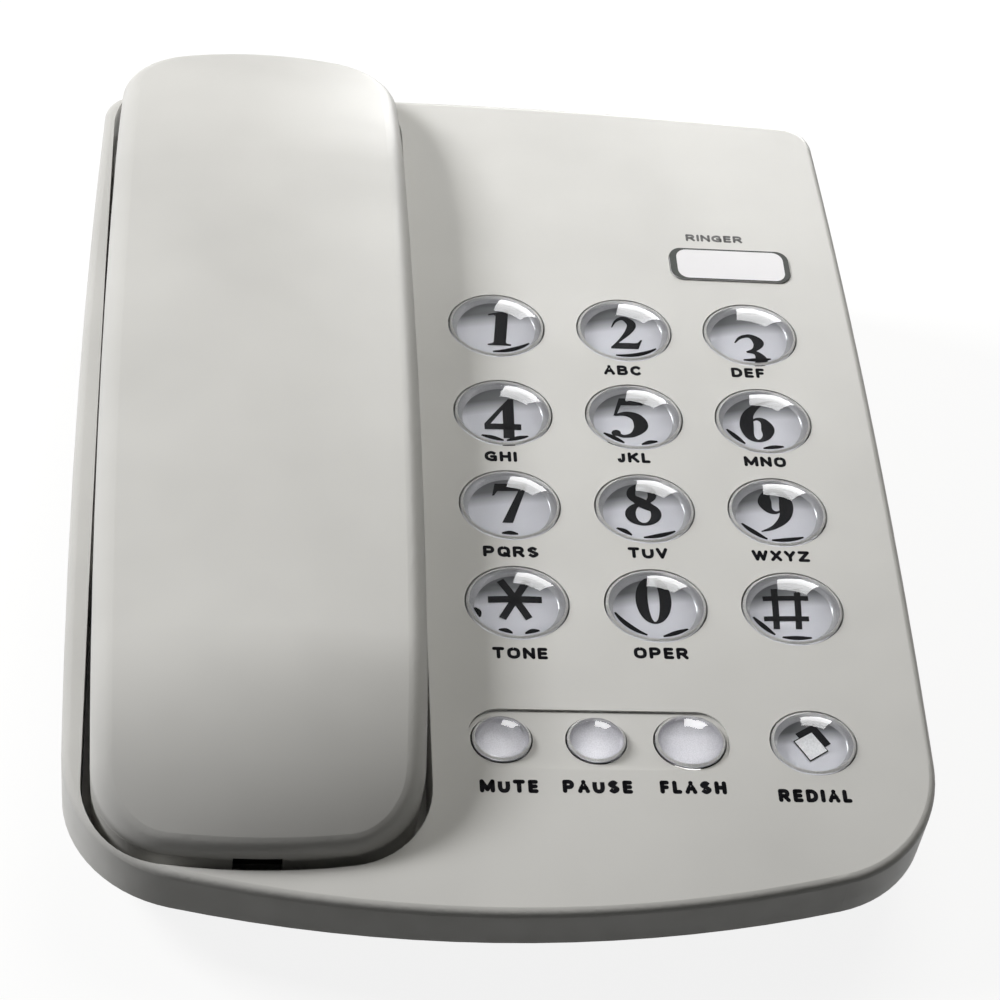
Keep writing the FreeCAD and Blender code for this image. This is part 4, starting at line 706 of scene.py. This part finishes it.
def dress_keys():
    for name, size in SIGNS.items():
        dress_key("key_" + name, DIAL_KEY, [(placed(GLYPHS[name], *size), BLACK_INK)])
        add_painted_reflections("key_" + name, PAINTED_REFLECTIONS[name])
    for name in ("mute", "pause", "flash"):
        dress_key("key_" + name, SMALL_KEY, lining=PALE_DISH, ground_print_and_shade=PALE_DISH)
    width, height, x, y = REDIAL_SIGN
    behind = placed(TILTED, width, height, x + REDIAL_SHIFT[0], y + REDIAL_SHIFT[1])
    outline = placed(TILTED, width, height, x, y)
    inside = placed(TILTED, width - REDIAL_LINE * 2, height - REDIAL_LINE * 2, x, y)
    layers = [(behind, BLACK_INK), (outline, BLACK_INK), (inside, WHITE_INK)]
    dress_key("key_redial", REDIAL_KEY, layers)


# Lettering on the face

# Each style: the letters' height, a common letter's breadth, a stroke's half width, and the ink
DIAL_STYLE = (2.5, 2.25, 0.34, BLACK_INK)
FUNCTION_STYLE = (2.65, 2.15, 0.4, BLACK_INK)
RINGER_STYLE = (1.9, 2.0, 0.26, GREY_INK)
# Labels whose middle lies below this height on the face belong to the function row
FUNCTION_ROW_TOP = -50
# Each label: its words, how far its middle lies to the right of its key's and how far above, in millimetres
LABELS = {
    "key_2": ("ABC", -1.2, -10.6),
    "key_3": ("DEF", -1.6, -10.1),
    "key_4": ("GHI", -1.1, -10.9),
    "key_5": ("JKL", -1.0, -10.2),
    "key_6": ("MNO", -0.9, -10.2),
    "key_7": ("PQRS", -0.5, -11.0),
    "key_8": ("TUV", -0.4, -10.5),
    "key_9": ("WXYZ", -0.7, -10.4),
    "key_star": ("TONE", -0.2, -11.2),
    "key_0": ("OPER", -0.1, -10.6),
    "key_mute": ("MUTE", 0.7, -9.8),
    "key_pause": ("PAUSE", -0.6, -9.7),
    "key_flash": ("FLASH", -0.5, -9.6),
    "key_redial": ("REDIAL", -1.2, -11.0),
    "ringer_lens": ("RINGER", -2.5, 7.6),
}


# Capitals as strokes in a box one unit wide and high; a stroke that starts with "o" is drawn smoothly
LETTERS = {
    "A": [((0, 0), (0.5, 1), (1, 0)), ((0.2, 0.36), (0.8, 0.36))],
    "B": [((0, 0), (0, 1)), ("o", (0, 1), (0.7, 0.98), (0.86, 0.76), (0.7, 0.54), (0, 0.52)),
          ("o", (0, 0.52), (0.76, 0.5), (0.96, 0.26), (0.76, 0.02), (0, 0))],
    "C": [("o", (0.98, 0.78), (0.56, 1), (0.06, 0.76), (0.06, 0.24), (0.56, 0), (0.98, 0.22))],
    "D": [((0, 0), (0, 1)), ("o", (0, 1), (0.6, 0.97), (0.97, 0.72), (0.97, 0.28), (0.6, 0.03), (0, 0))],
    "E": [((0, 0), (0, 1)), ((0, 1), (0.95, 1)), ((0, 0.51), (0.88, 0.51)), ((0, 0), (0.97, 0))],
    "F": [((0, 0), (0, 1)), ((0, 1), (0.95, 1)), ((0, 0.49), (0.85, 0.49))],
    "G": [("o", (0.98, 0.8), (0.56, 1), (0.06, 0.76), (0.06, 0.24), (0.56, 0), (0.96, 0.1)),
          ((0.96, 0.0), (0.96, 0.46)), ((0.96, 0.46), (0.56, 0.46))],
    "H": [((0, 0), (0, 1)), ((1, 0), (1, 1)), ((0, 0.51), (1, 0.51))],
    "I": [((0.5, 0), (0.5, 1))],
    "J": [("o", (0.9, 1), (0.9, 0.3), (0.7, 0.02), (0.22, 0.02), (0.04, 0.34))],
    "K": [((0, 0), (0, 1)), ((0, 0.4), (0.92, 1)), ((0.34, 0.62), (1, 0))],
    "L": [((0, 0), (0, 1)), ((0, 0), (0.95, 0))],
    "M": [((0, 0), (0, 1)), ((0, 1), (0.5, 0.12)), ((0.5, 0.12), (1, 1)), ((1, 0), (1, 1))],
    "N": [((0, 0), (0, 1)), ((0, 1), (1, 0)), ((1, 0), (1, 1))],
    "O": [("o", (0.5, 1), (0.93, 0.8), (0.93, 0.2), (0.5, 0), (0.07, 0.2), (0.07, 0.8), (0.5, 1))],
    "P": [((0, 0), (0, 1)), ("o", (0, 1), (0.72, 0.98), (0.94, 0.71), (0.72, 0.44), (0, 0.42))],
    "Q": [("o", (0.5, 1), (0.93, 0.8), (0.93, 0.2), (0.5, 0), (0.07, 0.2), (0.07, 0.8), (0.5, 1)),
          ((0.6, 0.26), (1, -0.04))],
    "R": [((0, 0), (0, 1)), ("o", (0, 1), (0.72, 0.98), (0.92, 0.73), (0.72, 0.48), (0, 0.46)),
          ((0.5, 0.46), (0.98, 0))],
    "S": [("o", (0.92, 0.8), (0.5, 1), (0.06, 0.75), (0.5, 0.52), (0.96, 0.26), (0.5, 0), (0.04, 0.22))],
    "T": [((0.5, 0), (0.5, 1)), ((0, 1), (1, 1))],
    "U": [("o", (0, 1), (0, 0.34), (0.24, 0.02), (0.76, 0.02), (1, 0.34), (1, 1))],
    "V": [((0, 1), (0.5, 0)), ((0.5, 0), (1, 1))],
    "W": [((0, 1), (0.26, 0)), ((0.26, 0), (0.5, 0.94)), ((0.5, 0.94), (0.74, 0)), ((0.74, 0), (1, 1))],
    "X": [((0.02, 0), (0.98, 1)), ((0.02, 1), (0.98, 0))],
    "Y": [((0.5, 0), (0.5, 0.45)), ((0.5, 0.45), (0, 1)), ((0.5, 0.45), (1, 1))],
    "Z": [((0, 1), (1, 1)), ((1, 1), (0, 0)), ((0, 0), (1, 0))],
}
# Letters that are broader or narrower than the common one
BROAD = {
    "M": 1.25,
    "W": 1.4,
    "O": 1.1,
    "Q": 1.1,
    "G": 1.1,
    "C": 1.05,
    "I": 0.0,
    "J": 0.75,
    "L": 0.8,
    "E": 0.85,
    "F": 0.8,
}
# The space between letters as a share of a stroke's half width, and the corners of a stroke's round end
LETTER_SPACE = 1.3
END_COUNT = 12


def lettered(words, height, breadth, weight):
    """Outlines of a word in capitals, centred; breadth is a common letter's, weight a stroke's half width."""
    space = weight * LETTER_SPACE
    shapes, pen_at = [], 0.0
    for capital in words:
        width = breadth * BROAD.get(capital, 1.0)
        across = width - weight * 2 if width else 0
        for stroke in LETTERS[capital]:
            smooth = stroke[0] == "o"
            points = [
                (pen_at + weight + a * across, weight + b * (height - weight * 2), weight)
                for a, b in (stroke[1:] if smooth else stroke)
            ]
            shapes += pen(*points, smooth=smooth)
            if not smooth:
                shapes += [ellipse(x, y, weight, weight, END_COUNT) for x, y, _ in points]
        pen_at += max(width, weight * 2) + space
    middle = (pen_at - space) / 2
    return [[(x - middle, y - height / 2) for x, y in shape] for shape in shapes]


def label(name, words, x, along, style):
    """A word printed on the face."""
    height, breadth, weight, material = style
    seat = FACE @ Matrix.Translation((x * MM, along * MM, 0))
    points, faces = flat_shape(lettered(words, height, breadth, weight), seat, PRINT_THICKNESS)
    piece = make_mesh(name, points, faces, material, "base")


def dress_face():
    for node, (words, shift, rise) in LABELS.items():
        lows, highs = face_extent(node)
        x, along = (lows[0] + highs[0]) / 2 + shift, (lows[1] + highs[1]) / 2 + rise
        if node == "ringer_lens":
            style = RINGER_STYLE
        elif along < FUNCTION_ROW_TOP:
            style = FUNCTION_STYLE
        else:
            style = DIAL_STYLE
        label(node + "_label", words, x, along, style)
    dress_lens()


# The ringer window: the flange under the face round it, the breadth of the painted shade at its edge along
# its
# # length and at its ends, its corner, and how far the edge's opening lies to the right
LENS_FLANGE = 1.2
LENS_EDGE = 0.35
LENS_END = 1.3
LENS_CORNER = 2.6
LENS_SHIFT = 0.156
CORNER_COUNT = 10


def rounded(half_width, half_height, corner, x=0.0):
    """A rectangle with rounded corners about (x, 0)."""
    points = []
    for right, up, start in ((1, 1, 0), (-1, 1, 90), (-1, -1, 180), (1, -1, 270)):
        for i in range(CORNER_COUNT + 1):
            angle = math.radians(start + 90 * i / CORNER_COUNT)
            points.append(
                (
                    x + right * (half_width - corner) + corner * math.cos(angle),
                    up * (half_height - corner) + corner * math.sin(angle),
                )
            )
    return points


def dress_lens():
    """A painted shade round the milky ringer window: a dark edge, a little broader at its left end."""
    lows, highs = face_extent("ringer_lens")
    half_width = (highs[0] - lows[0]) / 2 - LENS_FLANGE
    half_height = (highs[1] - lows[1]) / 2 - LENS_FLANGE
    outer = rounded(half_width, half_height, LENS_CORNER)
    opening = half_width - LENS_END, half_height - LENS_EDGE
    inner = rounded(*opening, LENS_CORNER - LENS_EDGE, LENS_SHIFT)
    shapes = []
    for i in range(len(outer)):
        j = (i + 1) % len(outer)
        shapes.append([outer[i], outer[j], inner[j], inner[i]])
    x, along = (lows[0] + highs[0]) / 2, (lows[1] + highs[1]) / 2
    seat = FACE @ Matrix.Translation((x * MM, along * MM, highs[2] * MM))
    points, faces = flat_shape(shapes, seat, PRINT_THICKNESS)
    piece = make_mesh("ringer_lens_painted_shade", points, faces, WINDOW_PAINTED_SHADE, "base")


# Studio

# Each lamp: its place, its width and height, its power in watts, its colour, whether matt surfaces catch its
# light, and whether it shows as a reflection
LAMPS = {
    "left_lamp": ((-0.78, 0.24, 0.62), 0.3, 0.3, 9.3, (0.99, 0.99, 1.0), True, False),
    "window": ((0.1, 0.24, 0.54), 0.4, 0.3, 1.4, (1.0, 0.99, 0.95), True, False),
    "window_pane": ((0.26, 0.6, 0.31), 0.36, 0.6, 6.0, (1.0, 1.0, 1.0), False, True),
}
LAMP_TARGET = (0, 0, 0.03)
# The surroundings: white to the camera, darker in reflections and through clear pieces, and next to no light
WORLD_IN_GLOSS = 0.2
WORLD_LEVEL = 0.01
# The floor: its glow, its colours, its grain in cells per metre, its roughness and how far it goes each way
FLOOR_GLOW = 0.87
FLOOR_COLOURS = ((0.13, 0.13, 0.125), (0.15, 0.15, 0.145))
FLOOR_GRAIN = 12
FLOOR_ROUGHNESS = 0.9
FLOOR_REACH = 12.0


def add_area(name, spot, target, width, height, power):
    light = bpy.data.lights.new(name, "AREA")
    light.shape = "RECTANGLE"
    light.size, light.size_y = width, height
    light.energy = power
    holder = bpy.data.objects.new(name, light)
    holder.location = spot
    holder.rotation_euler = (Vector(target) - Vector(spot)).to_track_quat("-Z", "Y").to_euler()
    bpy.context.scene.collection.objects.link(holder)
    return holder


def larger(nodes, links, first, second):
    """The larger of two values."""
    choice = nodes.new("ShaderNodeMath")
    choice.operation = "MAXIMUM"
    links.new(first, choice.inputs[0])
    links.new(second, choice.inputs[1])
    return choice.outputs[0]


def set_world():
    world = bpy.data.worlds.new("studio")
    bpy.context.scene.world = world
    world.use_nodes = True
    nodes, links = world.node_tree.nodes, world.node_tree.links
    background = nodes["Background"]
    background.inputs["Color"].default_value = (1, 1, 1, 1)
    path = nodes.new("ShaderNodeLightPath").outputs
    dimmed = nodes.new("ShaderNodeMapRange")
    dimmed.inputs["To Min"].default_value = WORLD_LEVEL
    dimmed.inputs["To Max"].default_value = WORLD_IN_GLOSS
    mirrored = larger(nodes, links, path["Is Glossy Ray"], path["Is Transmission Ray"])
    links.new(mirrored, dimmed.inputs["Value"])
    level = larger(nodes, links, dimmed.outputs["Result"], path["Is Camera Ray"])
    links.new(level, background.inputs["Strength"])


def set_lamps():
    for name, (spot, width, height, power, colour, lights, shines) in LAMPS.items():
        lamp = add_area(name, spot, LAMP_TARGET, width, height, power)
        lamp.data.color = colour
        lamp.visible_diffuse = lights
        lamp.visible_glossy = shines


def lay_floor():
    """A pale matt floor that glows to the camera and in reflections, and still takes the shadow."""
    material, nodes, links, shader = new_material("studio floor")
    grain = noise(nodes, links, FLOOR_GRAIN, 2.0)
    links.new(blend_colours(nodes, links, grain, *FLOOR_COLOURS), shader.inputs["Base Color"])
    shader.inputs["Roughness"].default_value = FLOOR_ROUGHNESS
    shader.inputs["Emission Color"].default_value = (1, 1, 1, 1)
    path = nodes.new("ShaderNodeLightPath").outputs
    seen = larger(nodes, links, path["Is Camera Ray"], path["Is Glossy Ray"])
    seen = larger(nodes, links, seen, path["Is Transmission Ray"])
    glow = nodes.new("ShaderNodeMath")
    glow.operation = "MULTIPLY"
    glow.inputs[1].default_value = FLOOR_GLOW
    links.new(seen, glow.inputs[0])
    links.new(glow.outputs[0], shader.inputs["Emission Strength"])
    reach = FLOOR_REACH
    corners = [(-reach, -reach, 0), (reach, -reach, 0), (reach, reach, 0), (-reach, reach, 0)]
    mesh = bpy.data.meshes.new("floor")
    mesh.from_pydata(corners, [], [[0, 1, 2, 3]])
    mesh.materials.append(material)
    floor = bpy.data.objects.new("floor", mesh)
    bpy.context.scene.collection.objects.link(floor)


# Camera: its place and aim in the face frame, its roll, its lens and sensor for an image as high as it is
# wide, and how near a thing it still shows, in metres
CAMERA_AT = (-59.9, -289.2, 367.1)
CAMERA_AIM = (1.74, -10.19, 0.0)
CAMERA_ROLL = math.radians(9.11)
CAMERA_LENS = 88.2
CAMERA_SENSOR = 36
CAMERA_NEAREST = 0.01


def set_camera():
    camera = bpy.data.cameras.new("camera")
    camera.sensor_width = CAMERA_SENSOR
    camera.lens = CAMERA_LENS
    camera.clip_start = CAMERA_NEAREST
    spot, aim = FACE @ (Vector(CAMERA_AT) * MM), FACE @ (Vector(CAMERA_AIM) * MM)
    ahead = (aim - spot).normalized()
    level = ahead.cross(Vector((0, 0, 1))).normalized()
    above = level.cross(ahead)
    right = level * math.cos(CAMERA_ROLL) + above * math.sin(CAMERA_ROLL)
    up = right.cross(ahead)
    holder = bpy.data.objects.new("camera", camera)
    turn = Matrix((right, up, -ahead)).transposed().to_4x4()
    holder.matrix_world = Matrix.Translation(spot) @ turn
    bpy.context.scene.collection.objects.link(holder)
    bpy.context.scene.camera = holder


dress_nodes()
dress_keys()
dress_face()
bpy.context.scene.view_settings.view_transform = "Standard"
set_world()
set_lamps()
lay_floor()
set_camera()
